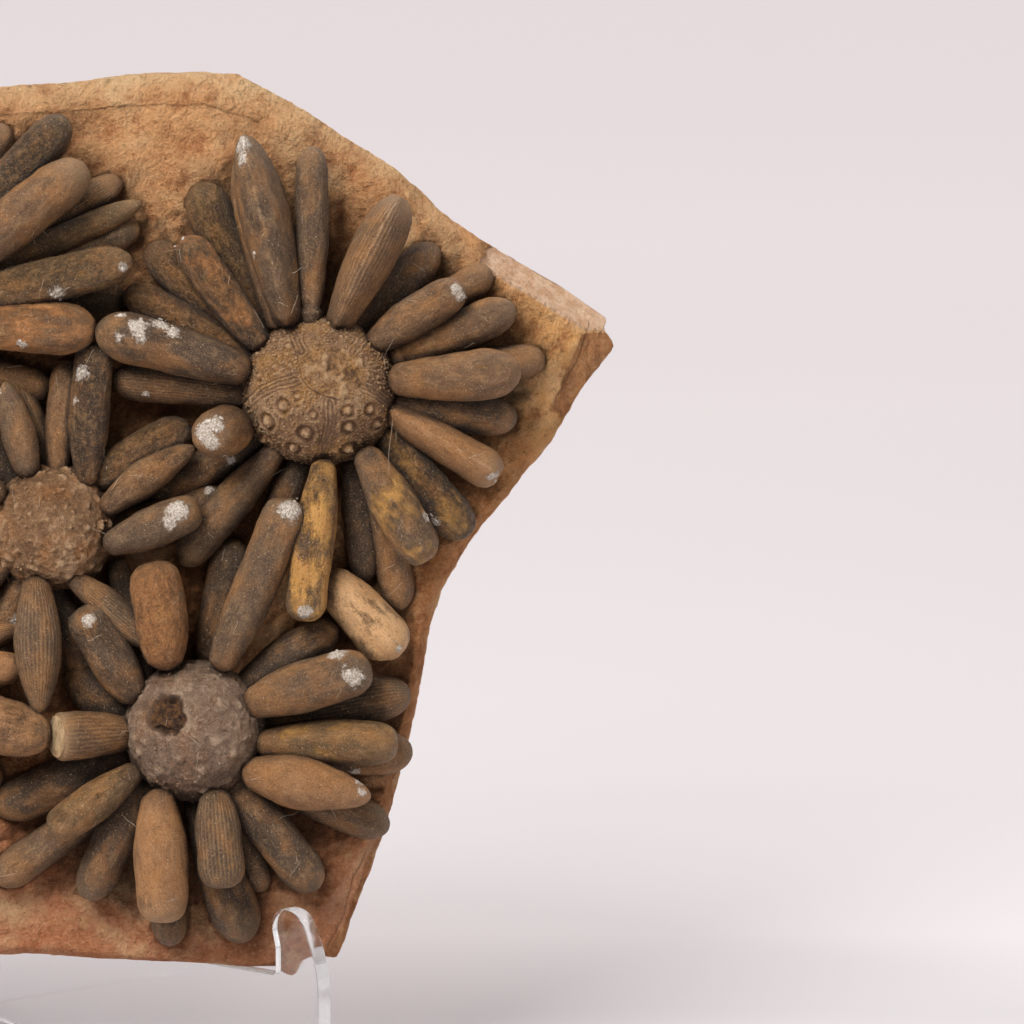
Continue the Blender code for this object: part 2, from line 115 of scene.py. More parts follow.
# Root and tip of each club from the middle of its shell, its width, its layer and its look.
UPPER_RIGHT_CLUBS = (
    Club(-8, 18, -18.5, 63, 12.5, "top", "grey pointed keeled +brown3"),
    Club(-11, 17, -20.5, 58, 7, "mid", "brown pointed"),
    Club(-2, 18, -2, 60.5, 8, "high", "grey collared"),
    Club(5, 17, 20.5, 47.5, 11.5, "top", "brown ribbed keeled pale_tip"),
    Club(10.5, 14, 29, 36.5, 10, "low", "slate"),
    Club(14, 12, 36, 26, 10.5, "high", "brown +rust2"),
    Club(13, 10, 42.5, 30.5, 8.5, "low", "brown"),
    Club(19, 9, 48.5, 21, 9.5, "mid", "brown collared"),
    Club(19, 3, 50, 5, 12.5, "top", "brown +ochre1"),
    Club(19, 2, 56, 8.5, 9.5, "low", "brown"),
    Club(20, -3, 49, -7, 10, "mid", "dark"),
    Club(19, -6, 44.5, -21, 10, "high", "tan blunt keeled pale_tip"),
    Club(17, -11, 37, -36, 10.5, "mid", "dark grainy +ochre4"),
    Club(12, -16, 27, -42, 12, "top", "grey blunt +ochre4"),
    Club(12, -14, 20, -54.5, 9.5, "low", "brown"),
    Club(8, -18, 11, -47.5, 8.5, "low", "slate"),
    Club(1.5, -19, -3.5, -57, 10, "top", "ochre blunt +slate4"),
    Club(-5, -18, -13.5, -37.5, 8.5, "low", "slate"),
    Club(-11, -15, -34.5, -43, 9.5, "mid", "grey pale_tip"),
    Club(-20, -8.5, -27, -11.5, 12, "out", "brown blunt"),
    Club(-15, -11, -42, -27, 9.5, "low", "dark"),
    Club(-18, -1, -52, 3, 9.5, "mid", "brown ribbed"),
    Club(-18.5, 5, -55, 15, 12.5, "top", "slate +brown3"),
    Club(-18.5, 8.5, -48.5, 25, 9, "mid", "brown grainy +rust3"),
    Club(-17, 11, -43, 36.5, 11, "low", "brown grainy"),
    Club(-15, 12, -33.5, 38, 10, "high", "slate grainy +rust5"),
    Club(-13, 14, -30.5, 52, 12, "low", "olive grainy +brown4"),
    Club(2.5, -47, 19.5, -66, 13, "mid", "cream blunt +brown3"),
)
MIDDLE_CLUBS = (
    Club(9, 12, 11, 46, 9.5, "high", "slate blunt grainy +rust2"),
    Club(1.5, 15, 4, 41.5, 8, "mid", "brown"),
    Club(-6, 14, -11.5, 36, 9, "high", "grey pointed +rust2"),
    Club(-1, 14, -12, 41, 8, "low", "grey ribbed"),
    Club(10.5, 12, 34, 25.5, 11, "mid", "brown grainy +olive4"),
    Club(14, 5, 35.5, 20, 9.5, "high", "brown pointed +grey3"),
    Club(15, -4, 37, 5, 10, "top", "grey blunt"),
    Club(14, 0, 43, 8, 9, "low", "brown +olive3"),
    Club(6, -13, 25, -29, 8, "high", "grey ribbed"),
    Club(-3.5, -14, -2.5, -46.5, 11.5, "top", "grey ribbed pointed"),
    Club(-8, -12, -18, -36, 9, "low", "brown"),
    Club(-12, -9, -34, -28, 9.5, "mid", "grey"),
    Club(-15, -4, -42, -13, 10, "high", "brown ribbed"),
    Club(-15, 2, -45, 6, 11, "mid", "slate +brown3"),
    Club(-13, 8, -37, 24, 10, "top", "brown +ochre2"),
    Club(-11, 11, -27, 34, 9, "low", "dark"),
    Club(0, -15, 8, -38, 8.5, "low", "dark"),
)
LOWER_CLUBS = (
    Club(7, 17, 24.5, 57.5, 11, "top", "grey blunt +ochre2"),
    Club(3, 18, 9.5, 48, 10, "low", "dark"),
    Club(-7, 17, -10, 42, 13.5, "top", "rust blunt grainy +brown3"),
    Club(-12, 9, -20, 42.5, 6.5, "low", "dark ribbed"),
    Club(-15, 9, -27.5, 31, 11.5, "high", "slate blunt +brown3"),
    Club(-17, 4, -32, 15, 11, "low", "dark"),
    Club(12, 11, 35.5, 26, 9.5, "mid", "slate +olive2"),
    Club(14.5, 7, 44, 16, 13, "top", "grey blunt"),
    Club(17, 2.5, 53.5, 9, 11, "low", "dark ribbed"),
    Club(17, -3, 50.5, -3, 11, "high", "olive blunt +ochre3"),
    Club(17, -6, 54, -6, 11.5, "low", "brown"),
    Club(14, -10, 44, -16, 13, "top", "tan pointed"),
    Club(15, -12, 48, -25, 10, "low", "grey"),
    Club(9.5, -13, 30.5, -39.5, 11.5, "mid", "slate collared +brown2"),
    Club(5.5, -16, 7.5, -38.5, 11.5, "top", "grey ribbed blunt +ochre2"),
    Club(8, -15, 16.5, -40.5, 7, "low", "brown"),
    Club(1, -17, 12.5, -53, 12, "low", "slate +brown3"),
    Club(-9, -16, -7.5, -47, 13, "top", "tan blunt pale_tip +brown2"),
    Club(-7, -16, -6.5, -54, 8.5, "low", "dark"),
    Club(-13, -14, -27, -42, 10.5, "mid", "slate"),
    Club(-15, -10, -35, -24.5, 9.5, "top", "olive blunt +brown3"),
    Club(-14, -13, -50, -38, 10, "low", "grey +tan2"),
    Club(-17, -7, -50, -20, 12, "low", "dark"),
    Club(-17, -0.5, -33.5, -1, 11.5, "raised", "brown ribbed broken"),
)
UPPER_LEFT_CLUBS = (
    Club(14, 10, 49.5, 38, 13, "top", "brown pale_tip +ochre2"),
    Club(12, 14, 44.5, 50, 10.5, "high", "dark grainy +olive4"),
    Club(15, 9, 57, 35.5, 8.5, "low", "grey ribbed +brown3"),
    Club(16, 8, 62.5, 29.5, 7, "mid", "olive pointed"),
    Club(16, 6, 61.5, 24, 9, "low", "dark"),
    Club(17, 5, 61, 14.5, 11, "top", "olive grainy +ochre2"),
    Club(17, 1, 58.5, 6, 9, "low", "dark"),
    Club(17, -1, 52, -2.5, 12.5, "top", "brown +rust5"),
    Club(8, 16, 28.5, 49, 9, "low", "brown"),
    Club(2, 17, 6, 47, 11, "high", "grey +brown3"),
    Club(-5, 17, -14, 46, 10, "mid", "brown"),
    Club(-10, 14, -30, 36, 10.5, "top", "slate"),
    Club(-15, 9, -42, 22, 10, "mid", "grey ribbed"),
    Club(-17, 3, -49, 6, 11.5, "top", "brown +ochre3"),
    Club(-17, -3, -48, -10, 9.5, "low", "dark"),
    Club(-15, -8, -42, -22, 11, "high", "olive"),
    Club(-10, -13, -28, -38, 10, "mid", "grey pointed"),
    Club(-4, -16, -10, -44, 11, "top", "brown grainy"),
    Club(3, -16, 6, -40, 9.5, "low", "dark"),
    Club(8, -14, 22, -33, 10.5, "high", "tan"),
    Club(14, -9, 40, -17, 9, "low", "brown"),
)
LOWER_LEFT_CLUBS = (
    Club(15, 8, 41.5, 16, 9, "mid", "tan ribbed pointed"),
    Club(17, 4, 45, 7, 11, "high", "tan pointed"),
    Club(17, -4, 50, -11.5, 13.5, "top", "tan +brown4"),
    Club(12, 13, 30, 32, 9.5, "low", "brown"),
    Club(4, 17, 9, 40, 10, "top", "grey"),
    Club(-3, 17, -8, 44, 10.5, "mid", "slate +rust2"),
    Club(-9, 14, -24, 40, 11, "high", "brown ribbed"),
    Club(-14, 10, -38, 28, 10, "low", "dark"),
    Club(-16, 5, -46, 15, 11.5, "top", "grey blunt"),
    Club(-17, -1, -48, -3, 10, "mid", "olive +ochre3"),
    Club(-16, -7, -42, -22, 11, "high", "brown"),
    Club(-12, -12, -33, -38, 10, "top", "grey pointed"),
    Club(-7, -16, -18, -48, 10.5, "mid", "slate"),
    Club(0, -17, 1, -49, 11.5, "top", "tan +brown3"),
    Club(6, -16, 17, -46, 10, "low", "dark"),
    Club(11, -13, 26, -38, 10.5, "high", "brown"),
    Club(14, -9, 36, -24, 9, "low", "grey"),
)
URCHINS = (
    Urchin("upper_right", (55.25, 145), 19.5, 16.5, 7.5, "cleaned", UPPER_RIGHT_CLUBS),
    Urchin("lower", (24.25, 60.75), 17.5, 16, 8, "worn", LOWER_CLUBS),
    Urchin("middle", (-11, 111.25), 15.6, 15, 6.5, "crusted", MIDDLE_CLUBS),
    Urchin("upper_left", (-51.5, 162.5), 16.5, 15, 7, "crusted", UPPER_LEFT_CLUBS),
    Urchin("lower_left", (-60.5, 70.5), 17, 15.5, 7, "worn", LOWER_LEFT_CLUBS),
)

# Rays that look for what stands round a point: how many, how far, the turn from one to the next,
# how wide they spread and how far off the surface they start.
NOOK_RAYS, NOOK_REACH, NOOK_TURN, NOOK_SPREAD, NOOK_START = 7, 14, 2.4, 0.9, 0.4

# Seeds of what is drawn by chance; the first two count up, one for each urchin.
CLUB_SEED, SHELL_SEED, CHALK_SEED, LINT_SEED = 11, 31, 41, 61
# Height over the face from which a place on the clubs is looked for, and the lowest that counts.
DROP_HEIGHT = 80
LOWEST_CLUB = 5

# White chips of chalk on the clubs: middle on the face and half width.
CHALK_CHIPS = (
    (36.2, 205.5, 2.6), (36.6, 202, 2), (20.7, 183, 2.8), (89.2, 170, 1.6), (90.3, 168.3, 1.6),
    (82, 113.8, 1.5), (84, 112.6, 1.2), (98.3, 123.7, 1.5), (52.2, 90.3, 1.9), (48.5, 115.8, 3.2),
    (28, 134.5, 3), (30.5, 136.5, 2.5), (29.5, 132, 2.2), (6.7, 163.5, 1.3), (11.2, 160.6, 2.6),
    (12, 158, 1.4), (16.3, 161.5, 2.4), (20, 159.3, 2), (6.4, 158, 1.1), (20.7, 115.4, 2.8),
    (19, 112.4, 1.8), (33, 127.8, 1.3), (27.7, 120.5, 1.4), (7.5, 175, 1.3), (-8.7, 168.5, 2),
    (-3.2, 149.2, 1.9), (-4.7, 142.3, 0.9), (-24.2, 144.7, 1.8), (12.5, 144.2, 0.9),
    (-17.5, 156.2, 1.4), (-1.2, 88.5, 1.8), (60, 80.5, 2.8), (64.6, 74, 2.6), (62.8, 75.4, 1.6),
    (64, 50.5, 1.3), (65.2, 48.5, 1.3), (66, 46.3, 1.2), (-7.3, 65.8, 1.3), (75, 81, 1),
    (39.2, 178.5, 0.9), (-62, 210, 2), (-88, 150, 2.2), (-20, 88, 1.6), (-100, 62, 2),
)
# Threads of lint caught on the clubs: from, to, and how far each bows out.
LINT = (
    ((8.7, 181.2), (6.2, 176.8), 1.5), ((6.3, 173), (4.6, 169.2), 0.8),
    ((28.7, 146.5), (35.2, 149), 1.2), ((27, 146.7), (29, 141.5), 0.8),
    ((3.7, 136), (5.7, 141.2), 1), ((2.9, 130.5), (2.8, 125.5), 0.6),
    ((3.7, 120.2), (6.8, 124), 1), ((73.3, 141.3), (72.8, 125.3), 1.4),
    ((74.5, 135), (74.2, 132.5), 0.6), ((45.4, 39), (49.7, 40.5), 1.2),
    ((-9, 168), (-5.5, 170.2), 1), ((34.6, 85), (35.6, 88.2), 0.7),
    ((22, 62), (26.5, 57.5), 1.2), ((65.3, 50), (63.3, 52.2), 1),
    ((-30, 120), (-26, 127), 1.2), ((-70, 180), (-62, 186), 1.5),
)
# Short threads laid by chance besides, and the steps along each thread.
LOOSE_THREADS = 110
THREAD_STEPS = 10

# The clear stand: two plates that cross behind the slab, half lapped near their tails.
PLATE_THICKNESS = 4
PLATE_ANGLE = radians(41)
PLATE_GAP = 0.3
HOOK_U = 45.5
CROSSING_U = -45
CROSSING_HEIGHT = 52
PLATE_END = 12
PLATE_TOP = 128
SHELF_SLOPE = radians(7.3)
PLATE_CLEARANCE = PLATE_GAP + 0.5 * PLATE_THICKNESS * sin(PLATE_ANGLE)
FILLET_STEPS = 10
PLATE_EDGE = 0.25


# ---------------------------------------------------------------- meshes


def put_in_scene(name, data):
    thing = bpy.data.objects.new(name, data)
    bpy.context.scene.collection.objects.link(thing)
    return thing


def make_piece(name, shape):
    """An object from a bmesh, which is freed."""
    mesh = bpy.data.meshes.new(name)
    shape.to_mesh(mesh)
    shape.free()
    return put_in_scene(name, mesh)


def piece_from_points(name, points, faces=(), edges=()):
    mesh = bpy.data.meshes.new(name)
    mesh.from_pydata([tuple(p) for p in points], edges, faces)
    return put_in_scene(name, mesh)


def mesh_points(mesh):
    flat = np.zeros(len(mesh.vertices) * 3)
    mesh.vertices.foreach_get("co", flat)
    return flat.reshape(-1, 3)


def set_mesh_points(mesh, points):
    mesh.vertices.foreach_set("co", np.asarray(points, float).reshape(-1))
    mesh.update()


def mesh_normals(mesh):
    flat = np.zeros(len(mesh.vertices) * 3)
    mesh.vertices.foreach_get("normal", flat)
    return flat.reshape(-1, 3)


def store(mesh, name, kind, values):
    """Keep one value for each point: a FLOAT, a FLOAT_VECTOR or a FLOAT_COLOR."""
    attribute = mesh.attributes.new(name, kind, "POINT")
    field = {"FLOAT": "value", "FLOAT_VECTOR": "vector", "FLOAT_COLOR": "color"}[kind]
    attribute.data.foreach_set(field, np.asarray(values, np.float32).reshape(-1))


def freeze(piece):
    """Turn what the modifiers make into the piece's plain mesh."""
    evaluated = piece.evaluated_get(bpy.context.evaluated_depsgraph_get())
    made = bpy.data.meshes.new_from_object(evaluated)
    piece.modifiers.clear()
    old = piece.data
    piece.data = made
    bpy.data.meshes.remove(old)
    return piece


def grow(piece, tree, **sizes):
    """Run a node tree on the piece with these sizes, then keep the result."""
    step = piece.modifiers.new(tree.name, "NODES")
    step.node_group = tree
    items = tree.interface.items_tree
    sockets = {item.name: item.identifier for item in items if item.in_out == "INPUT"}
    for name, value in sizes.items():
        step[sockets[name.replace("_", " ").capitalize()]] = value
    freeze(piece)


def lean_into_place(piece):
    """From the slab's own frame in millimetres to the place in the stand."""
    piece.data.transform(FACE_TO_STAND)
    piece.data.update()


def smooth(piece):
    piece.data.polygons.foreach_set("use_smooth", [True] * len(piece.data.polygons))


def rough(points, scale, octaves=4, seed=0.0):
    """Fractal noise at each point, about -1 to 1."""
    shift = Vector((seed, -seed * 1.7, seed * 0.6))
    return np.array([
        noise.fractal(Vector(p) * scale + shift, 0.9, 2.1, octaves) for p in points
    ])


def segment_distance(places, start, end):
    """Distance of each place from a segment, and how far along it its nearest point is, 0 to 1."""
    start = np.asarray(start, float)
    along = np.asarray(end, float) - start
    share = np.clip(((places - start) @ along) / (along @ along), 0, 1)
    nearest = start + share[:, None] * along
    return np.linalg.norm(places - nearest, axis=1), share


# ---------------------------------------------------------------- node trees


class Wiring:
    """Adds nodes to one tree and joins them."""

    def __init__(self, tree):
        self.tree = tree

    def add(self, kind, inputs=None, **settings):
        node = self.tree.nodes.new(kind)
        for name, value in settings.items():
            setattr(node, name, value)
        for key, value in (inputs or {}).items():
            self.feed(node.inputs[key], value)
        return node

    def out(self, kind, inputs=None, **settings):
        """Adds a node and gives its first output."""
        return self.add(kind, inputs, **settings).outputs[0]

    def parts(self, vector):
        """The X, Y and Z of a vector."""
        return self.add("ShaderNodeSeparateXYZ", {0: vector}).outputs

    def feed(self, socket, value):
        if isinstance(value, bpy.types.NodeSocket):
            self.tree.links.new(value, socket)
        elif isinstance(value, bpy.types.Node):
            self.tree.links.new(next(o for o in value.outputs if o.enabled), socket)
        else:
            socket.default_value = value

    def math(self, operation, first, second=0.0, third=0.0, clamp=False):
        inputs = {0: first, 1: second, 2: third}
        return self.out("ShaderNodeMath", inputs, operation=operation, use_clamp=clamp)

    def times(self, first, second):
        return self.math("MULTIPLY", first, second)

    def plus(self, first, second):
        return self.math("ADD", first, second)

    def minus(self, first, second):
        return self.math("SUBTRACT", first, second)

    def scaled(self, value, factor, offset, clamp=False):
        """A value times a factor, plus an offset."""
        return self.math("MULTIPLY_ADD", value, factor, offset, clamp)

    def moved(self, place, shift):
        """A place moved along, so that one noise doesn't repeat another."""
        return self.vector("ADD", place, shift)

    def vector(self, operation, first, second=None, scale=None):
        inputs = {0: first}
        if second is not None:
            inputs[1] = second
        if scale is not None:
            inputs["Scale"] = scale
        return self.add("ShaderNodeVectorMath", inputs, operation=operation).outputs["Vector"]

    def noise(self, place, scale, detail, roughness):
        inputs = {"Vector": place, "Scale": scale, "Detail": detail, "Roughness": roughness}
        return self.out("ShaderNodeTexNoise", inputs)

    def span(self, value, low, high, to_low=0.0, to_high=1.0):
        """Map low..high to 0..1, or to other ends, held there beyond them."""
        inputs = {0: value, 1: low, 2: high, 3: to_low, 4: to_high}
        return self.out("ShaderNodeMapRange", inputs, clamp=True)

    def blend(self, share, first, second):
        """The first colour with a share of the second over it."""
        inputs = {0: share, 6: first, 7: second}
        return self.add("ShaderNodeMix", inputs, data_type="RGBA").outputs[2]

    def coat(self, color, value, low, high, most, over):
        """A colour coated with another as a value goes from low to high, at most this much."""
        return self.blend(self.span(value, low, high, 0, most), color, over)


def paint(red, green, blue):
    """A colour as it is seen, 0 to 255, as the linear colour that shaders work in."""
    linear = []
    for level in (red, green, blue):
        level /= 255
        linear.append(level / 12.92 if level <= 0.04045 else ((level + 0.055) / 1.055) ** 2.4)
    return (*linear, 1.0)


# ---------------------------------------------------------------- finishes


def new_finish(name):
    material = bpy.data.materials.new(name)
    material.use_nodes = True
    wiring = Wiring(material.node_tree)
    shader = material.node_tree.nodes["Principled BSDF"]
    return material, wiring, shader


def read(wiring, name, output="Fac"):
    return wiring.add("ShaderNodeAttribute", attribute_name=name).outputs[output]


def object_millimetres(wiring):
    place = wiring.add("ShaderNodeTexCoord").outputs["Object"]
    return wiring.vector("SCALE", place, scale=1 / MM)


def dress(w, shader, color, roughness, height):
    """Feed a shader its varying colour and roughness, and a bump in millimetres."""
    w.feed(shader.inputs["Base Color"], color)
    w.feed(shader.inputs["Roughness"], roughness)
    bump = w.add("ShaderNodeBump", {"Height": height, "Distance": MM, "Strength": 1.0})
    w.feed(shader.inputs["Normal"], bump.outputs["Normal"])


def darken_nooks(w, color, grain, first=0.28, last=0.8):
    """Painted shade, a near-black brown, where the surface is shut in by its neighbours."""
    nook = w.plus(read(w, "nook"), w.scaled(grain, 0.4, -0.2))
    return w.coat(color, nook, first, last, 0.9, w.blend(0.8, color, paint(36, 22, 12)))


def sandstone_finish():
    """Grainy stone: pale at the top, orange in the middle and red-brown at the foot."""
    material, w, shader = new_finish("orange_sandstone")
    place = object_millimetres(w)
    across, _, height = w.parts(place)
    level = w.plus(height, w.scaled(w.noise(place, 0.018, 3, 0.6), 70, -35))
    foot_to_middle = w.blend(w.span(level, 50, 130), paint(212, 142, 102), paint(246, 170, 110))
    color = w.blend(w.span(level, 160, 240), foot_to_middle, paint(244, 182, 126))
    color = w.coat(color, across, 104, 128, 0.9, paint(255, 190, 120))
    cloud = w.noise(w.moved(place, (13, 5, -21)), 0.05, 5, 0.62)
    color = w.coat(color, cloud, 0.5, 0.66, 0.75, paint(250, 208, 158))
    color = w.coat(color, cloud, 0.5, 0.34, 0.55, paint(188, 120, 76))
    rust = w.noise(w.moved(place, (40, 0, 90)), 0.16, 7, 0.74)
    color = w.coat(color, rust, 0.51, 0.64, 0.65, paint(182, 108, 64))
    color = w.coat(color, rust, 0.46, 0.34, 0.55, paint(246, 198, 144))
    # Painted highlight along the rounded upper edge, broken up by the rust noise.
    rim = w.times(read(w, "rim"), w.span(rust, 0.6, 0.4, 0.35, 0.8))
    color = w.blend(rim, color, paint(246, 208, 158))
    fresh = read(w, "fresh")
    streaks = w.noise(w.vector("MULTIPLY", place, (1, 1, 0.4)), 0.3, 5, 0.7)
    pale_break_and_highlight = w.blend(w.span(streaks, 0.4, 0.6), paint(240, 204, 174), paint(214, 168, 134))
    brown_break = w.blend(w.span(streaks, 0.4, 0.6), paint(214, 150, 100), paint(164, 106, 68))
    # Pale stone where flakes broke off, paler still as a painted highlight where the face tilts up.
    color = w.coat(color, fresh, 0.25, 0.6, 0.92, pale_break_and_highlight)
    color = w.coat(color, fresh, -0.25, -0.6, 0.85, brown_break)
    # A dark brown halo round the clubs and shells: partly a stain, partly painted shade and contact
    # shadow.
    stain_and_shade = w.times(read(w, "stain_and_shade"), w.span(rust, 0.3, 0.6, 0.3, 0.7))
    color = w.blend(stain_and_shade, color, w.blend(0.5, color, paint(88, 50, 28)))
    dark = w.blend(0.62, color, paint(92, 50, 28))
    grain = w.noise(place, 0.75, 6, 0.8)
    calm = w.span(fresh, 0.0, 0.8, 1, 0.35)
    color = w.blend(w.times(w.span(grain, 0.52, 0.66, 0, 0.5), calm), color, dark)
    color = w.coat(color, grain, 0.47, 0.34, 0.35, paint(250, 212, 164))
    pits = w.noise(w.moved(place, (7, 70, 3)), 0.5, 4, 0.65)
    pits = w.times(w.span(pits, 0.62, 0.7), calm)
    color = w.blend(w.times(pits, 0.7), color, dark)
    fine = w.noise(place, 2.8, 3, 0.75)
    color = w.coat(color, fine, 0.52, 0.68, 0.45, dark)
    # Dark lines along the cracks; the line under the top lip is a painted shadow.
    cracks_and_lip_shadow = w.parts(read(w, "cracks_and_lip_shadow", "Vector"))
    wandering = w.scaled(w.minus(rust, 0.5), 3.0, cracks_and_lip_shadow["X"])
    crack = w.span(w.math("ABSOLUTE", wandering), 0.45, 0.1)
    crack = w.times(crack, w.span(cracks_and_lip_shadow["Y"], 3, 1.5))
    crack = w.times(crack, w.span(grain, 0.62, 0.48, 0.3, 1))
    color = w.blend(w.times(crack, 0.6), color, w.blend(0.7, color, paint(80, 44, 26)))
    # Painted shade where the stone is shut in by the clubs and shells.
    color = darken_nooks(w, color, fine, 0.12, 0.5)
    shader.inputs["Specular IOR Level"].default_value = 0.2
    ledges = w.scaled(rust, -4.5, w.times(w.noise(place, 0.09, 6, 0.66), 9.0))
    relief = w.scaled(grain, -1.0, w.times(ledges, calm))
    relief = w.scaled(pits, -0.5, relief)
    relief = w.scaled(crack, -0.5, relief)
    dress(w, shader, color, w.span(grain, 0.3, 0.7, 0.97, 0.85), w.scaled(fine, -0.3, relief))
    return material


def club_finish():
    """Fossil clubs: each has its own tone, patches of a second one, grain, ribs, soil and chalk,
    with painted shade low by the stone, at the root and in nooks.
    """
    material, w, shader = new_finish("fossil_club")
    skin = read(w, "skin", "Vector")
    share = read(w, "share")
    crust = read(w, "crust")
    habit = w.parts(read(w, "habit", "Vector"))
    ribs, pale, patch_share = habit["X"], habit["Y"], habit["Z"]
    squeezed = w.vector("MULTIPLY", skin, (1, 1, 0.6))
    broad = w.noise(squeezed, 0.15, 4, 0.6)
    mottle = w.noise(w.moved(squeezed, (5, 9, 2)), 0.42, 6, 0.74)
    grit = w.noise(skin, 2.2, 4, 0.8)
    fibre = w.noise(w.vector("MULTIPLY", skin, (1, 1, 0.08)), 2.1, 3, 0.65)
    across = w.parts(skin)
    angle = w.math("ARCTAN2", across["Y"], across["X"])
    rib_wave = w.math("SINE", w.scaled(angle, 34.0, w.times(fibre, 7.0)))
    rib_wave = w.times(rib_wave, ribs)

    color = read(w, "tone", "Color")
    color = w.coat(color, broad, 0.46, 0.62, 0.8, w.blend(0.6, color, paint(174, 116, 58)))
    color = w.coat(color, broad, 0.46, 0.3, 0.6, w.blend(0.5, color, paint(62, 46, 34)))
    edge = w.minus(0.71, w.times(patch_share, 0.42))
    patch = w.noise(w.moved(squeezed, (50, 0, 17)), 0.2, 4, 0.62)
    patch = w.scaled(patch, 0.7, w.times(w.plus(mottle, grit), 0.15))
    patch = w.span(w.minus(patch, edge), -0.05, 0.05)
    patch = w.times(patch, w.span(patch_share, 0.02, 0.06, 0, 0.92))
    color = w.blend(patch, color, read(w, "patch", "Color"))
    darker = w.blend(0.62, color, paint(36, 22, 12))
    lighter = w.blend(0.42, color, paint(208, 164, 114))
    crumbs = w.noise(w.moved(skin, (2, 31, 8)), 0.95, 4, 0.7)
    crumbly = w.scaled(patch, 0.35, w.times(crust, 0.65), True)
    pale_crumbs = w.times(w.span(crumbs, 0.49, 0.4, 0, 0.75), crumbly)
    color = w.blend(pale_crumbs, color, w.blend(0.6, color, paint(206, 146, 84)))
    dark_crumbs = w.times(w.span(crumbs, 0.5, 0.6, 0, 0.85), crumbly)
    color = w.blend(dark_crumbs, color, w.blend(0.7, color, paint(44, 28, 16)))
    blotch = w.scaled(w.math("MAXIMUM", crust, patch), 0.35, 0.55)
    color = w.blend(w.times(w.span(mottle, 0.5, 0.64), blotch), color, darker)
    color = w.blend(w.times(w.span(mottle, 0.48, 0.35), blotch), color, lighter)
    lines = w.scaled(rib_wave, 0.2, w.times(w.minus(fibre, 0.5), 0.6))
    color = w.coat(color, lines, 0.02, 0.22, 0.5, darker)
    color = w.coat(color, lines, -0.02, -0.22, 0.5, lighter)
    color = w.coat(color, grit, 0.515, 0.62, 0.6, darker)
    color = w.coat(color, grit, 0.475, 0.37, 0.55, lighter)
    tip = w.plus(share, w.scaled(mottle, 0.4, -0.2))
    tip_tone = w.blend(0.5, color, paint(188, 152, 112))
    tip = w.times(w.span(tip, 0.82, 1.0), w.scaled(pale, 0.5, 0.3, True))
    color = w.blend(tip, color, tip_tone)
    cut_face = w.times(w.span(share, 0.984, 0.994), w.span(pale, 1.4, 1.6))
    cut_tone = w.blend(w.span(mottle, 0.4, 0.6), paint(218, 186, 142), paint(172, 134, 94))
    color = w.blend(cut_face, color, cut_tone)
    keel_line = w.span(w.math("ABSOLUTE", w.minus(angle, KEEL_TURN)), 0.09, 0.02)
    keel_line = w.times(keel_line, w.span(read(w, "keel"), 0.3, 0.45, 0, 0.5))
    keel_line = w.times(keel_line, w.span(mottle, 0.58, 0.42))
    color = w.blend(w.times(keel_line, w.span(share, 0.1, 0.7)), color, paint(186, 152, 114))
    # Painted shade at each root, where it runs in under its shell.
    color = w.coat(color, share, 0.22, 0.02, 0.6, w.blend(0.7, color, paint(60, 38, 22)))
    # Low on each club, by the stone, a brown soil colour darkening as painted shade.
    soil_and_shade = w.minus(w.span(read(w, "height"), 8, 1), w.span(mottle, 0.4, 0.56, 0.0, 0.7))
    soil_and_shade_tone = w.blend(w.span(broad, 0.4, 0.6), paint(138, 86, 48), paint(70, 44, 28))
    color = w.coat(color, soil_and_shade, 0.0, 0.5, 0.8, soil_and_shade_tone)
    # Painted shade where a club is shut in by its neighbours.
    color = darken_nooks(w, color, grit)
    dust = w.noise(w.moved(skin, (11, 90, 5)), 2.4, 1, 0.5)
    color = w.coat(color, dust, 0.66, 0.74, 0.55, paint(206, 180, 148))
    chalk = w.plus(read(w, "chalk"), w.scaled(w.noise(skin, 0.8, 5, 0.75), 1.9, -0.95))
    chalk = w.span(chalk, 0.4, 0.66, 0, 0.92)
    chalk_tone = w.blend(w.span(grit, 0.42, 0.58), paint(232, 222, 212), paint(168, 148, 128))
    color = w.blend(chalk, color, chalk_tone)
    shader.inputs["Specular IOR Level"].default_value = 0.5

    fibres = w.scaled(fibre, -0.24, w.times(rib_wave, -0.07))
    coarse = w.times(mottle, w.scaled(crust, -2.0, -0.8))
    fine = w.scaled(grit, -0.34, w.times(chalk, 0.15))
    fine = w.scaled(w.times(crumbs, crumbly), -1.7, fine)
    relief = w.plus(w.plus(fibres, coarse), fine)
    dress(w, shader, color, w.span(mottle, 0.35, 0.65, 0.42, 0.66), relief)
    return material


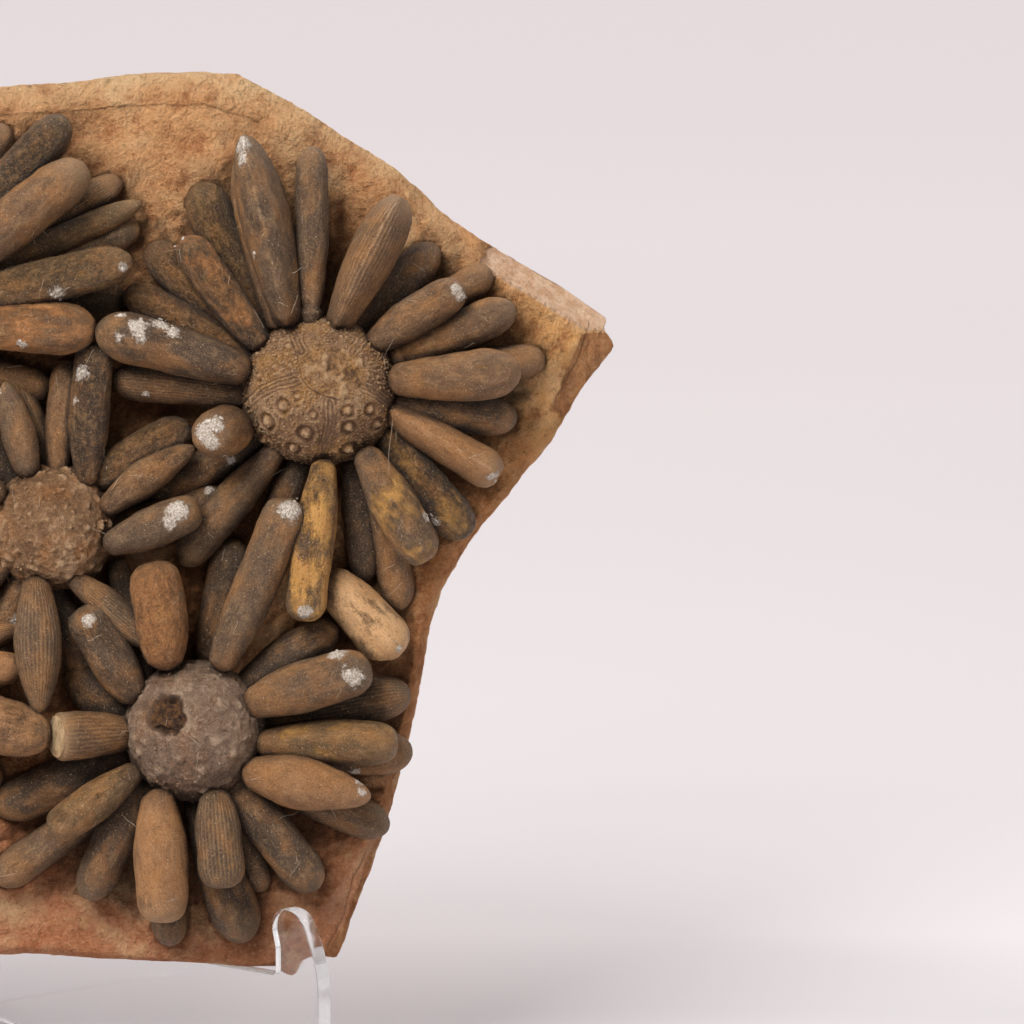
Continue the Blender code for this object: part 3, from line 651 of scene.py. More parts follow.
def shell_finish(name, ground, hollow, bright, crust):
    """A fossil shell with painted shade in hollows, a painted highlight on knobs, and ridged bands.
    """
    material, w, shader = new_finish(name)
    place = object_millimetres(w)
    depth = read(w, "relief")
    marks = w.parts(read(w, "marks", "Vector"))
    band, crack, cover = marks["X"], marks["Y"], marks["Z"]
    cloud = w.noise(place, 0.14, 5, 0.65)
    mottle = w.noise(w.moved(place, (3, 8, 1)), 0.5, 6, 0.76)
    grit = w.noise(place, 1.5, 5, 0.84)
    color = w.blend(w.span(cloud, 0.48, 0.62, 0, 0.7), ground, crust)
    color = w.blend(w.times(cover, w.span(mottle, 0.36, 0.6, 0.75, 0.1)), color, crust)

    wavy = w.scaled(w.noise(place, 0.45, 3, 0.6), 1.5, w.minus(band, 0.75))
    ridges = w.times(w.math("COSINE", w.times(wavy, 2 * pi / 1.0)), w.span(band, 2.1, 1.5))
    level = w.scaled(w.minus(grit, 0.5), -2.0, depth)
    level = w.scaled(w.minus(mottle, 0.5), -2.2, level)
    level = w.scaled(ridges, 0.32, level)
    # Painted shade where the level is low and a painted highlight where it is high; the grain and
    # mottle in it add blotches of the shell's own.
    color = w.coat(color, level, 0.05, -0.45, 0.68, hollow)
    color = w.coat(color, level, 0.1, 0.6, 0.85, bright)
    speckle = w.noise(w.moved(place, (1, 4, 9)), 2.6, 3, 0.8)
    color = w.coat(color, speckle, 0.52, 0.63, 0.5, w.blend(0.6, color, bright))
    color = w.coat(color, speckle, 0.47, 0.37, 0.45, w.blend(0.7, color, hollow))
    in_hole = w.times(cover, w.span(depth, -0.5, -1.2))
    hole_tone = w.blend(w.span(mottle, 0.38, 0.54), paint(146, 100, 56), paint(74, 48, 33))
    color = w.blend(in_hole, color, hole_tone)
    crack_line = w.times(w.span(crack, 0.3, 0.1), w.span(mottle, 0.6, 0.45, 0.3, 1))
    color = w.blend(w.times(crack_line, 0.7), color, paint(54, 34, 26))
    # Painted shade where the shell is shut in by its clubs.
    color = darken_nooks(w, color, grit)
    shader.inputs["Specular IOR Level"].default_value = 0.45
    height = w.scaled(grit, -1.0, w.times(mottle, -1.5))
    height = w.scaled(speckle, 0.25, height)
    height = w.scaled(ridges, 0.2, height)
    dress(w, shader, color, w.span(cloud, 0.3, 0.7, 0.48, 0.7), w.scaled(crack_line, -0.2, height))
    return material


def chalk_finish():
    material, w, shader = new_finish("white_chalk")
    place = object_millimetres(w)
    crumb = w.noise(place, 1.8, 4, 0.6)
    color = w.blend(w.span(crumb, 0.35, 0.65), paint(160, 142, 124), paint(222, 212, 202))
    dress(w, shader, color, w.span(crumb, 0.3, 0.7, 0.8, 0.98), w.times(crumb, 0.2))
    return material


def lint_finish():
    material, w, shader = new_finish("pale_lint")
    place = object_millimetres(w)
    tint = w.noise(place, 0.4, 2, 0.5)
    color = w.blend(tint, paint(176, 154, 124), paint(214, 200, 180))
    dress(w, shader, color, w.span(tint, 0.3, 0.7, 0.6, 0.8), w.times(tint, 0.02))
    return material


def clear_plate_finish():
    """Clear acrylic, a little scuffed and dusty."""
    material, w, shader = new_finish("clear_acrylic")
    place = object_millimetres(w)
    haze = w.noise(place, 0.05, 3, 0.5)
    scuff = w.noise(w.vector("MULTIPLY", place, (1, 1, 0.2)), 1.4, 4, 0.7)
    color = w.blend(haze, (0.992, 0.994, 0.994, 1), (0.975, 0.98, 0.982, 1))
    dress(w, shader, color, w.span(scuff, 0.45, 0.75, 0.015, 0.07), w.times(scuff, 0.01))
    shader.inputs["Transmission Weight"].default_value = 1
    shader.inputs["IOR"].default_value = 1.49
    absorb = w.add("ShaderNodeVolumeAbsorption")
    absorb.inputs["Color"].default_value = (0.9, 0.95, 0.93, 1)
    absorb.inputs["Density"].default_value = 0.5
    output = next(n for n in material.node_tree.nodes if n.type == "OUTPUT_MATERIAL")
    w.feed(output.inputs["Volume"], absorb.outputs[0])
    return material


def sweep_finish():
    """Pale paper that glows by its own emission, in bands: painted light in place of lamps."""
    material, w, shader = new_finish("pale_paper_sweep")
    place = w.add("ShaderNodeTexCoord").outputs["Object"]
    tone = w.noise(place, 1.2, 2, 0.5)
    color = w.blend(tone, paint(190, 187, 188), paint(187, 184, 185))
    dress(w, shader, color, w.span(tone, 0.3, 0.7, 0.92, 0.97), w.times(tone, 0.02))
    shader.inputs["Specular IOR Level"].default_value = 0.1
    # The emission is painted light: its strength rises and falls with the distance back from the
    # object.
    shader.inputs["Emission Color"].default_value = (1, 0.9, 0.905, 1)
    back = w.parts(place)["Y"]
    near = w.minus(w.span(back, 0.05, 0.13, 0.213, 0.395), w.span(back, 0.14, 0.3, 0, 0.09))
    far = w.plus(w.span(back, 0.4, 1.15, 0, 0.18), w.span(back, 1.15, 1.8, 0, 0.08))
    w.feed(shader.inputs["Emission Strength"], w.plus(near, far))
    return material


# ---------------------------------------------------------------- the stone


def club_ends(urchin, club):
    """Root and tip of a club in the slab's frame."""
    middle_u, middle_v = urchin.centre
    root_n, tip_n = LAYERS[club.layer]
    root = Vector((middle_u + club.root_u, middle_v + club.root_v, root_n))
    tip = Vector((middle_u + club.tip_u, middle_v + club.tip_v, tip_n))
    return root - (tip - root).normalized() * ROOT_REACH, tip


def stone_blank():
    """The slab as a smooth loft through its loops, remeshed into even faces."""
    shape = bmesh.new()
    loops = []
    for size, depth in STONE_LOOPS:
        loop = []
        for corner in SLAB_OUTLINE:
            place = SLAB_MIDDLE + (Vector(corner) - SLAB_MIDDLE) * size
            loop.append(shape.verts.new((place.x, place.y, -depth)))
        loops.append(loop)
    front = shape.verts.new((*SLAB_MIDDLE, 0))
    back = shape.verts.new((*SLAB_MIDDLE, -SLAB_DEPTH))
    count = len(SLAB_OUTLINE)
    for index in range(count):
        following = (index + 1) % count
        shape.faces.new((front, loops[0][index], loops[0][following]))
        shape.faces.new((back, loops[-1][following], loops[-1][index]))
        for near, far in zip(loops, loops[1:]):
            shape.faces.new((near[index], far[index], far[following], near[following]))
    bmesh.ops.recalc_face_normals(shape, faces=shape.faces)
    blank = make_piece("slab", shape)
    remesh = blank.modifiers.new("even_faces", "REMESH")
    remesh.mode = "VOXEL"
    remesh.voxel_size = STONE_VOXEL
    return freeze(blank)


def outline_distance(places):
    """How far inside the slab's outline each place on the face is."""
    nearest = np.full(len(places), 1e9)
    count = len(SLAB_OUTLINE)
    for index in range(count):
        start, end = SLAB_OUTLINE[index], SLAB_OUTLINE[(index + 1) % count]
        distance, _ = segment_distance(places, start, end)
        nearest = np.minimum(nearest, distance)
    return nearest


def crack_and_lip_shadow_offset(places):
    """How far each place is to one side of the nearest of the crack lines and the lip's shadow
    line, and how far from it in all.
    """
    nearest, side = np.full(len(places), 99.0), np.ones(len(places))
    for crack in CRACKS_AND_LIP_SHADOW:
        for start, end in zip(crack, crack[1:]):
            distance, _ = segment_distance(places, start, end)
            along = np.subtract(end, start)
            left = along[0] * (places[:, 1] - start[1]) - along[1] * (places[:, 0] - start[0])
            side = np.where(distance < nearest, np.sign(left), side)
            nearest = np.minimum(nearest, distance)
    return np.stack((nearest * side, nearest, 0 * nearest), axis=1)


def club_nearness(places, layers):
    """How far each place on the face is from the side of the nearest club or shell."""
    nearest = np.full(len(places), 1e9)
    for urchin in URCHINS:
        shell = np.linalg.norm(places - np.array(urchin.centre), axis=1) - urchin.radius
        nearest = np.minimum(nearest, shell)
        for club in urchin.clubs:
            if club.layer in layers:
                root, tip = club_ends(urchin, club)
                distance, _ = segment_distance(places, root[:2], tip[:2])
                nearest = np.minimum(nearest, distance - club.width * 0.45)
    return nearest


def flake_limit(places, flake, wobble):
    """The highest the face may be past a flake's line, and how far each place is into the flake."""
    start, end = np.array(flake.start, float), np.array(flake.end, float)
    along = (end - start) / np.linalg.norm(end - start)
    outward = np.array((-along[1], along[0]))
    if outward @ (start - np.array(SLAB_MIDDLE)) < 0:
        outward = -outward
    beyond = (places - start) @ outward + wobble
    share = (places - start) @ along / np.linalg.norm(end - start)
    apart = np.maximum(0, np.maximum(-share, share - 1)) * np.linalg.norm(end - start)
    rounded = 0.5 * (beyond + np.sqrt(beyond**2 + 1.2))
    limit = 0.3 - flake.drop * np.clip(beyond / 1.5, 0, 1) - flake.slope * rounded + apart * 1.5
    return np.where(beyond > -2, limit, 1e9), np.clip(beyond / 1.2 + 0.5, 0, 1) * (apart < 0.5)


def weather_stone(slab):
    """Break the edges, bank sediment against the clubs and roughen every side."""
    points = mesh_points(slab.data)
    normals = mesh_normals(slab.data)
    places = points[:, :2]
    inside = outline_distance(places)
    broad = rough(points, 0.022, 3)
    medium = rough(points, 0.09, 4, 9.1)
    fine = rough(points, 0.4, 3, 4.7)

    upper = np.clip((places[:, 1] - 150) / 60, 0, 1) * np.clip((96 - places[:, 0]) / 25, 0, 1)
    edge_width = 1.2 + 5.5 * upper + (0.5 + 0.9 * upper) * medium
    rounding = np.maximum(0, edge_width - inside)
    limit = -0.42 * rounding**1.25 + 0.3 * fine
    fresh = np.zeros(len(points))
    for flake in FLAKES:
        flaked, into = flake_limit(places, flake, 0.35 * medium + 0.2 * fine)
        fresh = np.where(flaked < np.minimum(limit, points[:, 2] + 0.3), flake.fresh * into, fresh)
        limit = np.minimum(limit, flaked)
    near_face = points[:, 2] > -EDGE_REACH
    fresh *= near_face
    points[:, 2] = np.where(near_face, np.minimum(points[:, 2], limit), points[:, 2])

    facing = np.clip(normals[:, 2], 0, 1)
    low = club_nearness(places, ("low", "mid"))
    bank = np.exp(-np.maximum(low, 0) / 2.6) * (1.8 + 0.8 * medium)
    hills = 0.9 * broad + 0.7 * medium
    calm = 1 - 0.75 * np.minimum(1, np.abs(fresh))
    points[:, 2] += facing * (np.where(near_face, bank, 0) + 0.6 * hills) * calm
    push = (0.5 * medium + 0.3 * fine) * calm
    calm_foot = 1 - (places[:, 1] < 4) * 0.7
    points += normals * (push * (1 - 0.4 * facing) * calm_foot)[:, None]
    set_mesh_points(slab.data, points)
    # Nearness to the clubs and shells, for the halo that is partly a stain, partly painted shade.
    stain_and_shade = np.exp(-np.maximum(club_nearness(places, LAYERS), 0) / 2.8)
    stain_and_shade *= points[:, 2] > -STAIN_AND_SHADE_REACH
    store(slab.data, "stain_and_shade", "FLOAT", stain_and_shade * (1 - np.minimum(1, np.abs(fresh))))
    store(slab.data, "fresh", "FLOAT", fresh)
    # The rounded upper edge, which the finish paints with a highlight.
    store(slab.data, "rim", "FLOAT", np.clip(rounding / edge_width, 0, 1) * upper)
    cracks_and_lip_shadow = crack_and_lip_shadow_offset(points[:, :2])
    cracks_and_lip_shadow[:, 1] += 9 * (points[:, 2] < -CRACK_AND_LIP_SHADOW_REACH)
    store(slab.data, "cracks_and_lip_shadow", "FLOAT_VECTOR", cracks_and_lip_shadow)


def keep_inside(piece, node):
    """Hold the piece within the box of the CAD node that it stands for."""
    low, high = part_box(node)
    points = np.clip(mesh_points(piece.data), np.array(low), np.array(high))
    set_mesh_points(piece.data, points)


def make_slab():
    slab = stone_blank()
    weather_stone(slab)
    lean_into_place(slab)
    keep_inside(slab, "stone_slab")
    slab.data.materials.append(sandstone_finish())
    smooth(slab)
    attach(slab, "root")
    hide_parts("stone_slab")
    return slab


# ---------------------------------------------------------------- the clubs

# The colours that the clubs' looks name.
TONES = {
    "grey": paint(102, 77, 55), "brown": paint(114, 81, 52), "dark": paint(68, 49, 33),
    "tan": paint(166, 117, 74), "olive": paint(110, 82, 48), "slate": paint(82, 61, 44),
    "ochre": paint(208, 152, 76), "rust": paint(190, 126, 72), "cream": paint(230, 180, 128),
}
# Rings of faces along each club.
CLUB_STATIONS = 44
# Each shape's tip: how long its rounding is in club widths, and how square.
CLUB_TIPS = {"round": (0.8, 2.1), "pointed": (1.7, 1.75), "blunt": (0.58, 2.5), "broken": (0.12, 3)}
# Which way the line of a keeled club faces.
KEEL_TURN = radians(-95)


def read_look(words):
    """A club's look in figures, from the words in its row."""
    look = {"tone": TONES["brown"], "patch": TONES["brown"], "patch_share": 0.0, "shape": "round"}
    names = words.split()
    for word in names:
        if word in TONES:
            look["tone"] = TONES[word]
        elif word in CLUB_TIPS:
            look["shape"] = word
        elif word.startswith("+"):
            look["patch"] = TONES[word[1:-1]]
            look["patch_share"] = int(word[-1]) / 10
    look["ribs"] = 1.0 if "ribbed" in names else 0.0
    look["pale"] = 2.0 if "broken" in names else 1.0 if "pale_tip" in names else 0.0
    look["crust"] = 1.0 if "grainy" in names else 0.0
    look["keel"] = 0.13 if "keeled" in names else 0.02
    look["collar"] = "collared" in names
    return look


def club_widths(look, slenderness, shares):
    """Half width along a club against its widest: a slim root, a long belly and a rounded tip."""
    reach, squareness = CLUB_TIPS[look["shape"]]
    cap = min(0.62, reach / slenderness)
    belly = 0.54 + 0.47 * np.sin(np.minimum(shares / 0.56, 1) * pi / 2)
    from_root = np.clip(1 - shares * slenderness / 0.22, 0, 1)
    into_cap = np.clip((shares - 1 + cap) / cap, 0, 1)
    cap_width = (1 - into_cap**squareness) ** (1 / squareness)
    if look["shape"] == "broken":
        cap_width = np.maximum(cap_width, 0.88)
    widths = belly * np.sqrt(1 - from_root**2) * cap_width
    if look["collar"]:
        widths += 0.14 * np.exp(-(((shares - 0.075) / 0.012) ** 2))
        widths -= 0.12 * np.exp(-(((shares - 0.105) / 0.018) ** 2))
    return np.maximum(widths, 0.01)


def club_guide(name, urchin, seed):
    """A mesh of lines, one down the middle of each club, that carries the sizes and looks."""
    dice = np.random.default_rng(seed)
    points, edges = [], []
    keys = ("half_width", "share", "crust", "keel", "turn", "habit", "tone", "patch", "along")
    values = {key: [] for key in keys}
    shares = 0.5 - 0.5 * np.cos(np.linspace(0, pi, CLUB_STATIONS))
    for number, club in enumerate(urchin.clubs):
        root, tip = club_ends(urchin, club)
        look = read_look(club.look)
        axis = tip - root
        sideways = Vector((-axis.y, axis.x, 0)).normalized()
        bow, sway, turn = dice.uniform(-0.6, 0.6), dice.uniform(0.97, 1.05), dice.uniform(0, 2 * pi)
        widths = club_widths(look, axis.length / club.width, shares)
        widths *= 1 + 0.04 * np.sin(shares * dice.uniform(5, 9) + turn)
        shade = dice.uniform(0.86, 1.1)
        first = len(points)
        for place, (share, width) in enumerate(zip(shares, widths)):
            points.append(root + axis * share + sideways * bow * sin(pi * share))
            if place:
                edges.append((first + place - 1, first + place))
            values["half_width"].append(width * club.width / 2 * sway)
            values["share"].append(share)
            values["along"].append(share * axis.length + number * 61.7)
            values["crust"].append(look["crust"])
            values["keel"].append(look["keel"] * club.width / 2)
            values["turn"].append(KEEL_TURN if look["keel"] > 0.1 else turn)
            values["habit"].append((look["ribs"], look["pale"], look["patch_share"]))
            values["tone"].append([level * shade for level in look["tone"][:3]] + [1])
            values["patch"].append(look["patch"])
    guide = piece_from_points(name, points, edges=edges)
    kinds = {"habit": "FLOAT_VECTOR", "tone": "FLOAT_COLOR", "patch": "FLOAT_COLOR"}
    for key, column in values.items():
        store(guide.data, key, kinds.get(key, "FLOAT"), column)
    return guide


def named(wiring, name, kind="FLOAT"):
    return wiring.out("GeometryNodeInputNamedAttribute", {"Name": name}, data_type=kind)


def keep_vector(wiring, geometry, name, vector):
    """Store a vector on each point under a name."""
    inputs = {"Geometry": geometry, "Name": name, "Value": vector}
    settings = {"data_type": "FLOAT_VECTOR", "domain": "POINT"}
    return wiring.out("GeometryNodeStoreNamedAttribute", inputs, **settings)


def new_tree(name, sizes):
    """A geometry tree with a mesh in and out, named sizes and a material."""
    tree = bpy.data.node_groups.new(name, "GeometryNodeTree")
    tree.is_modifier = True
    tree.interface.new_socket("Geometry", in_out="OUTPUT", socket_type="NodeSocketGeometry")
    tree.interface.new_socket("Geometry", in_out="INPUT", socket_type="NodeSocketGeometry")
    for size, kind, value in sizes:
        socket = tree.interface.new_socket(size, in_out="INPUT", socket_type="NodeSocket" + kind)
        if kind != "Material":
            socket.default_value = value
    wiring = Wiring(tree)
    given = wiring.add("NodeGroupInput")
    return tree, wiring, given.outputs


def end_tree(wiring, geometry, material):
    real = wiring.out("GeometryNodeRealizeInstances", {"Geometry": geometry})
    finished = wiring.out("GeometryNodeSetMaterial", {"Geometry": real, "Material": material})
    wiring.add("NodeGroupOutput", {"Geometry": finished})


def club_tree():
    """Sweeps a round profile along each guide line and gives it lumps, keels and crust."""
    sizes = (("Sides", "Int", 24), ("Lump size", "Float", 5.0), ("Lump height", "Float", 0.4),
             ("Crust height", "Float", 0.5), ("Material", "Material", None))
    tree, w, given = new_tree("grow_clubs", sizes)
    line = w.out("GeometryNodeMeshToCurve", {"Mesh": given["Geometry"]})
    line = w.out("GeometryNodeSetCurveNormal", {"Curve": line}, mode="Z_UP")
    ring = {"Resolution": given["Sides"], "Radius": 1.0}
    circle = w.out("GeometryNodeCurvePrimitiveCircle", ring)
    bearing = w.out("GeometryNodeInputPosition")
    circle = keep_vector(w, circle, "around", bearing)
    swept = w.out("GeometryNodeCurveToMesh", {
        "Curve": line, "Profile Curve": circle, "Scale": named(w, "half_width"), "Fill Caps": True,
    })

    half_width = named(w, "half_width")
    around = w.vector("SCALE", named(w, "around", "FLOAT_VECTOR"), scale=half_width)
    down_length = w.out("ShaderNodeCombineXYZ", {"Z": named(w, "along")})
    skin = w.moved(around, down_length)
    swept = keep_vector(w, swept, "skin", skin)

    read_skin = named(w, "skin", "FLOAT_VECTOR")
    bearing = w.parts(named(w, "around", "FLOAT_VECTOR"))
    angle = w.minus(w.math("ARCTAN2", bearing["Y"], bearing["X"]), named(w, "turn"))
    keels = w.math("ABSOLUTE", w.math("SINE", w.times(angle, 1.5)))
    keels = w.times(w.scaled(keels, -2.0, 1.0), named(w, "keel"))
    lumps = w.noise(read_skin, w.math("DIVIDE", 1.0, given["Lump size"]), 2, 0.5)
    lumps = w.times(w.minus(lumps, 0.5), w.times(given["Lump height"], 2.0))
    crust = w.minus(w.noise(read_skin, 0.75, 4, 0.7), 0.5)
    crust = w.times(w.times(crust, given["Crust height"]), w.scaled(named(w, "crust"), 1.6, 0.5))
    body = w.span(half_width, 0.2, 2.5)
    height = w.times(w.plus(w.plus(keels, lumps), crust), body)
    normal = w.out("GeometryNodeInputNormal")
    offset = w.vector("SCALE", normal, scale=height)
    shaped = w.out("GeometryNodeSetPosition", {"Geometry": swept, "Offset": offset})
    merged = w.out("GeometryNodeMergeByDistance", {"Geometry": shaped, "Distance": 0.02})
    soft = w.out("GeometryNodeSetShadeSmooth", {"Geometry": merged})
    end_tree(w, soft, given["Material"])
    return tree


def make_clubs(urchin, tree, material, seed):
    clubs = club_guide(urchin.name + "_clubs", urchin, seed)
    grow(clubs, tree, material=material)
    lift_off_stone(clubs)
    store(clubs.data, "height", "FLOAT", mesh_points(clubs.data)[:, 2])
    lean_into_place(clubs)
    keep_inside(clubs, "urchin_" + urchin.name)
    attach(clubs, "root")
    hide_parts("urchin_" + urchin.name)
    return clubs


def lift_off_stone(piece):
    """Flatten what would lie deep inside the stone."""
    points = mesh_points(piece.data)
    points[:, 2] = np.maximum(points[:, 2], -SUNK_DEPTH)
    set_mesh_points(piece.data, points)


# ---------------------------------------------------------------- the shells

# Where each boss stands from the middle of its shell, and the size of its ring.
Boss = namedtuple("Boss", "u v ring")
CLEANED_BOSSES = tuple(Boss(*row) for row in (
    (-8.4, -4.05, 2.3), (-12.4, -7.7, 2.6), (-3, -10.8, 2.6), (-4.8, -1.7, 1.5),
    (-0.9, -6.3, 1.5), (7.4, -5.2, 2), (7.7, -9.2, 2.3), (12.8, -4.7, 2),
    (14.4, -8.3, 2.2), (7.4, -14.4, 2.7), (-6.1, -14.2, 2.3), (-7.2, 10.7, 1.8),
    (-10.5, 5.6, 1.6), (-6.8, 5.9, 1.3), (-10.8, 12.3, 1.5), (-14.4, 3.4, 1.7),
    (11.9, 7.7, 1.1), (12.6, 3.6, 0.9), (14.7, 3.2, 1.2), (5.6, 13.1, 1.2),
    (0.2, 12.8, 1.2), (7.2, -2.5, 0.7), (11, -1.6, 0.8), (-1, -2.6, 0.6),
    (18, 2.3, 1.3), (-15, 9, 1.4), (12.5, 11.4, 1.2), (-17.6, -3.4, 1.6),
    (16.4, 7, 1.2), (-13.6, -12.2, 2), (1.4, -17.6, 1.8), (2.6, 16.4, 1.3),
))
# Ridged bands down the cleaned shell, which bear no granules, and half of their width.
BAND_HALF_WIDTH = 1.7
CLEANED_BANDS = (
    ((-5, 2.5), (-9.7, 1.35), (-13.3, -0.2), (-18.2, -4.4)),
    ((3.2, -3.2), (3.2, -8.6), (1.8, -13.5), (0.2, -17.5)),
    ((11, 0.9), (16.4, -1.8), (19, -5.5)),
    ((-3.8, 9.4), (-6, 14.4), (-8.8, 16.8)),
    ((8.3, 9), (10.6, 12.2), (12.4, 14.4)),
)
# The crack across its top plate, and the plate's middle and half sizes.
TOP_CRACK = ((-5, 9.9), (-4.5, 6.3), (-3.8, 2.7), (-2, 0.4), (1.1, -1.4), (5.2, -2.5), (8.8, -2))
TOP_PLATE = (3.6, 4.1, 8.3, 6.2)
# The worn shell: its low bumps, and the middle and half width of the hole through it.
WORN_BUMPS = tuple(Boss(*row) for row in (
    (6.3, -1.7, 2.2), (10.5, -5.1, 1.9), (2.7, -9.4, 2.4), (-8.2, -9.4, 2.1),
    (-13, -5.1, 1.7), (-7.3, -5.5, 1.1), (6.7, 7.7, 1.8), (11.4, 6.8, 1.9),
    (13, -1.3, 1.5), (-2.6, -6.4, 1.5), (-11.8, -2.1, 1.3), (-6.9, -14.4, 1.6),
    (2.9, -14.8, 1.8), (8.9, -12.3, 1.8), (-12.7, -9.8, 1.7), (-1.4, 16.2, 1.7),
    (6.3, 14.6, 1.5), (-13, 8.5, 1.1), (15.2, 3.8, 1.8), (-15.6, 2.6, 1.3),
))
WORN_HOLE = (-6, 4.4, 5.1)
# Each kind of shell: rings and segments, its v size against u, boss height, grain and granules.
ShellKind = namedtuple("ShellKind", "rings segments narrow boss grain granules")
SHELL_KINDS = {
    "cleaned": ShellKind(120, 300, 0.94, 1.0, 0.12, 1350),
    "worn": ShellKind(110, 280, 1.0, 0.8, 0.3, 90),
    "crusted": ShellKind(110, 280, 1.0, 0.7, 0.4, 70),
}

# Height of a boss against its ring's size, from its middle outwards.
BOSS_PROFILES = {
    "cleaned": ((0, 0.44), (0.15, 0.41), (0.3, 0.3), (0.45, 0.1), (0.58, -0.08), (0.72, -0.16),
                (0.86, -0.1), (0.97, 0.06), (1.08, 0.12), (1.3, 0.06), (1.6, 0)),
    "worn": ((0, 0.42), (0.25, 0.38), (0.5, 0.22), (0.75, 0.06), (1, -0.03), (1.3, 0)),
    "crusted": ((0, 0.6), (0.25, 0.52), (0.5, 0.3), (0.75, 0.06), (1, -0.1), (1.4, 0)),
}


# How near its rim a place on a dome may be, and the angle from its top at which its rings widen.
DOME_RIM, DOME_SKIRT = 0.995, 1.9


def dome_size(urchin):
    narrow = SHELL_KINDS[urchin.shell].narrow
    return np.array((urchin.radius, urchin.radius * narrow, urchin.height))


def on_dome(urchin, u, v):
    """The point of a shell's smooth dome over a place on the face, and the way it faces."""
    across, up, out = dome_size(urchin)
    share = sqrt((u / across) ** 2 + (v / up) ** 2)
    if share > DOME_RIM:
        u, v, share = u * DOME_RIM / share, v * DOME_RIM / share, DOME_RIM
    n = out * sqrt(1 - share * share)
    facing = Vector((u / across**2, v / up**2, n / out**2)).normalized()
    return Vector((urchin.centre[0] + u, urchin.centre[1] + v, urchin.lift + n)), facing


def rule_bosses(urchin, dice):
    """Bosses in ten rows from the top of the shell to its widest part."""
    bosses = []
    start = dice.uniform(0, 2 * pi)
    for field in range(5):
        for side in (-1, 1):
            for step, polar in enumerate((0.42, 0.72, 1.02, 1.3)):
                bearing = start + field * 2 * pi / 5 + side * (0.27 - 0.02 * step)
                bearing += dice.uniform(-0.04, 0.04)
                reach = urchin.radius * sin(polar + side * 0.06)
                ring = (1.1, 1.6, 2.0, 2.2)[step] * urchin.radius / 18
                bosses.append(Boss(reach * cos(bearing), reach * sin(bearing), ring))
    return bosses


def dome_points(urchin, kind):
    """Points and faces of a closed ball whose lower part lies in the stone."""
    upper = int(kind.rings * 0.9)
    polars = list(np.linspace(0, DOME_SKIRT, upper + 1)[1:])
    polars += list(np.linspace(DOME_SKIRT, pi, kind.rings - upper + 1)[1:-1])
    centre, size = np.array((*urchin.centre, urchin.lift)), dome_size(urchin)
    bearings = np.arange(kind.segments) * 2 * pi / kind.segments
    points = [centre + size * (0, 0, 1)]
    for polar in polars:
        for bearing in bearings:
            way = (sin(polar) * cos(bearing), sin(polar) * sin(bearing), cos(polar))
            points.append(centre + size * way)
    points.append(centre - size * (0, 0, 1))
    faces = []
    for index in range(kind.segments):
        following = (index + 1) % kind.segments
        faces.append((0, 1 + index, 1 + following))
        last = 1 + (len(polars) - 1) * kind.segments
        faces.append((len(points) - 1, last + following, last + index))
        for ring in range(len(polars) - 1):
            near, far = 1 + ring * kind.segments, 1 + (ring + 1) * kind.segments
            faces.append((near + index, far + index, far + following, near + following))
    return np.array(points), faces


def boss_relief(points, urchin, bosses):
    """Sunken ring, raised rim and knob of each boss."""
    kind = SHELL_KINDS[urchin.shell]
    profile = BOSS_PROFILES[urchin.shell]
    relief = np.zeros(len(points))
    for boss in bosses:
        middle, _ = on_dome(urchin, boss.u, boss.v)
        away = np.linalg.norm(points - np.array(middle), axis=1) / boss.ring
        near = away < profile[-1][0]
        relief[near] += np.interp(away[near], *zip(*profile)) * boss.ring * kind.boss
    return relief


def trail_distance(points, urchin, trail):
    """How far each point is from a line drawn over the dome."""
    nearest = np.full(len(points), 99.0)
    spots = [np.array(on_dome(urchin, *spot)[0]) for spot in trail]
    for start, end in zip(spots, spots[1:]):
        distance, _ = segment_distance(points, start, end)
        nearest = np.minimum(nearest, distance)
    return nearest


def ellipse_share(points, urchin, ellipse):
    """How far out each point is in an ellipse on the dome: 0 at its middle and 1 at its rim."""
    middle_u, middle_v, half_u, half_v = ellipse
    du = (points[:, 0] - urchin.centre[0] - middle_u) / half_u
    dv = (points[:, 1] - urchin.centre[1] - middle_v) / half_v
    return np.where(points[:, 2] > urchin.lift, np.sqrt(du * du + dv * dv), 9)


def open_hole(points, urchin, relief, grain):
    """Break a ragged hole into the shell; gives the share of each point that lies in it."""
    hole_u, hole_v, radius = WORN_HOLE
    out = ellipse_share(points, urchin, (hole_u, hole_v, radius, radius * 1.04)) * radius
    du = points[:, 0] - urchin.centre[0] - hole_u
    dv = points[:, 1] - urchin.centre[1] - hole_v
    bearing = np.arctan2(dv, du)
    out += 0.35 * np.sin(3 * bearing + 0.6) + 0.25 * np.sin(5 * bearing) + 0.5 * grain
    inside = np.clip((radius - out) / 0.8, 0, 1)
    ridge = np.exp(-(((points[:, 1] - urchin.centre[1] - 2.4) / 1.2) ** 2))
    floor = 2.3 + 1.2 * rough(points, 0.45, 3, 8.8) - 0.7 * ridge
    lip = np.exp(-(((out - radius - 0.6) / 0.6) ** 2))
    relief[:] = relief * (1 - inside) - inside * floor + 0.12 * lip
    return inside


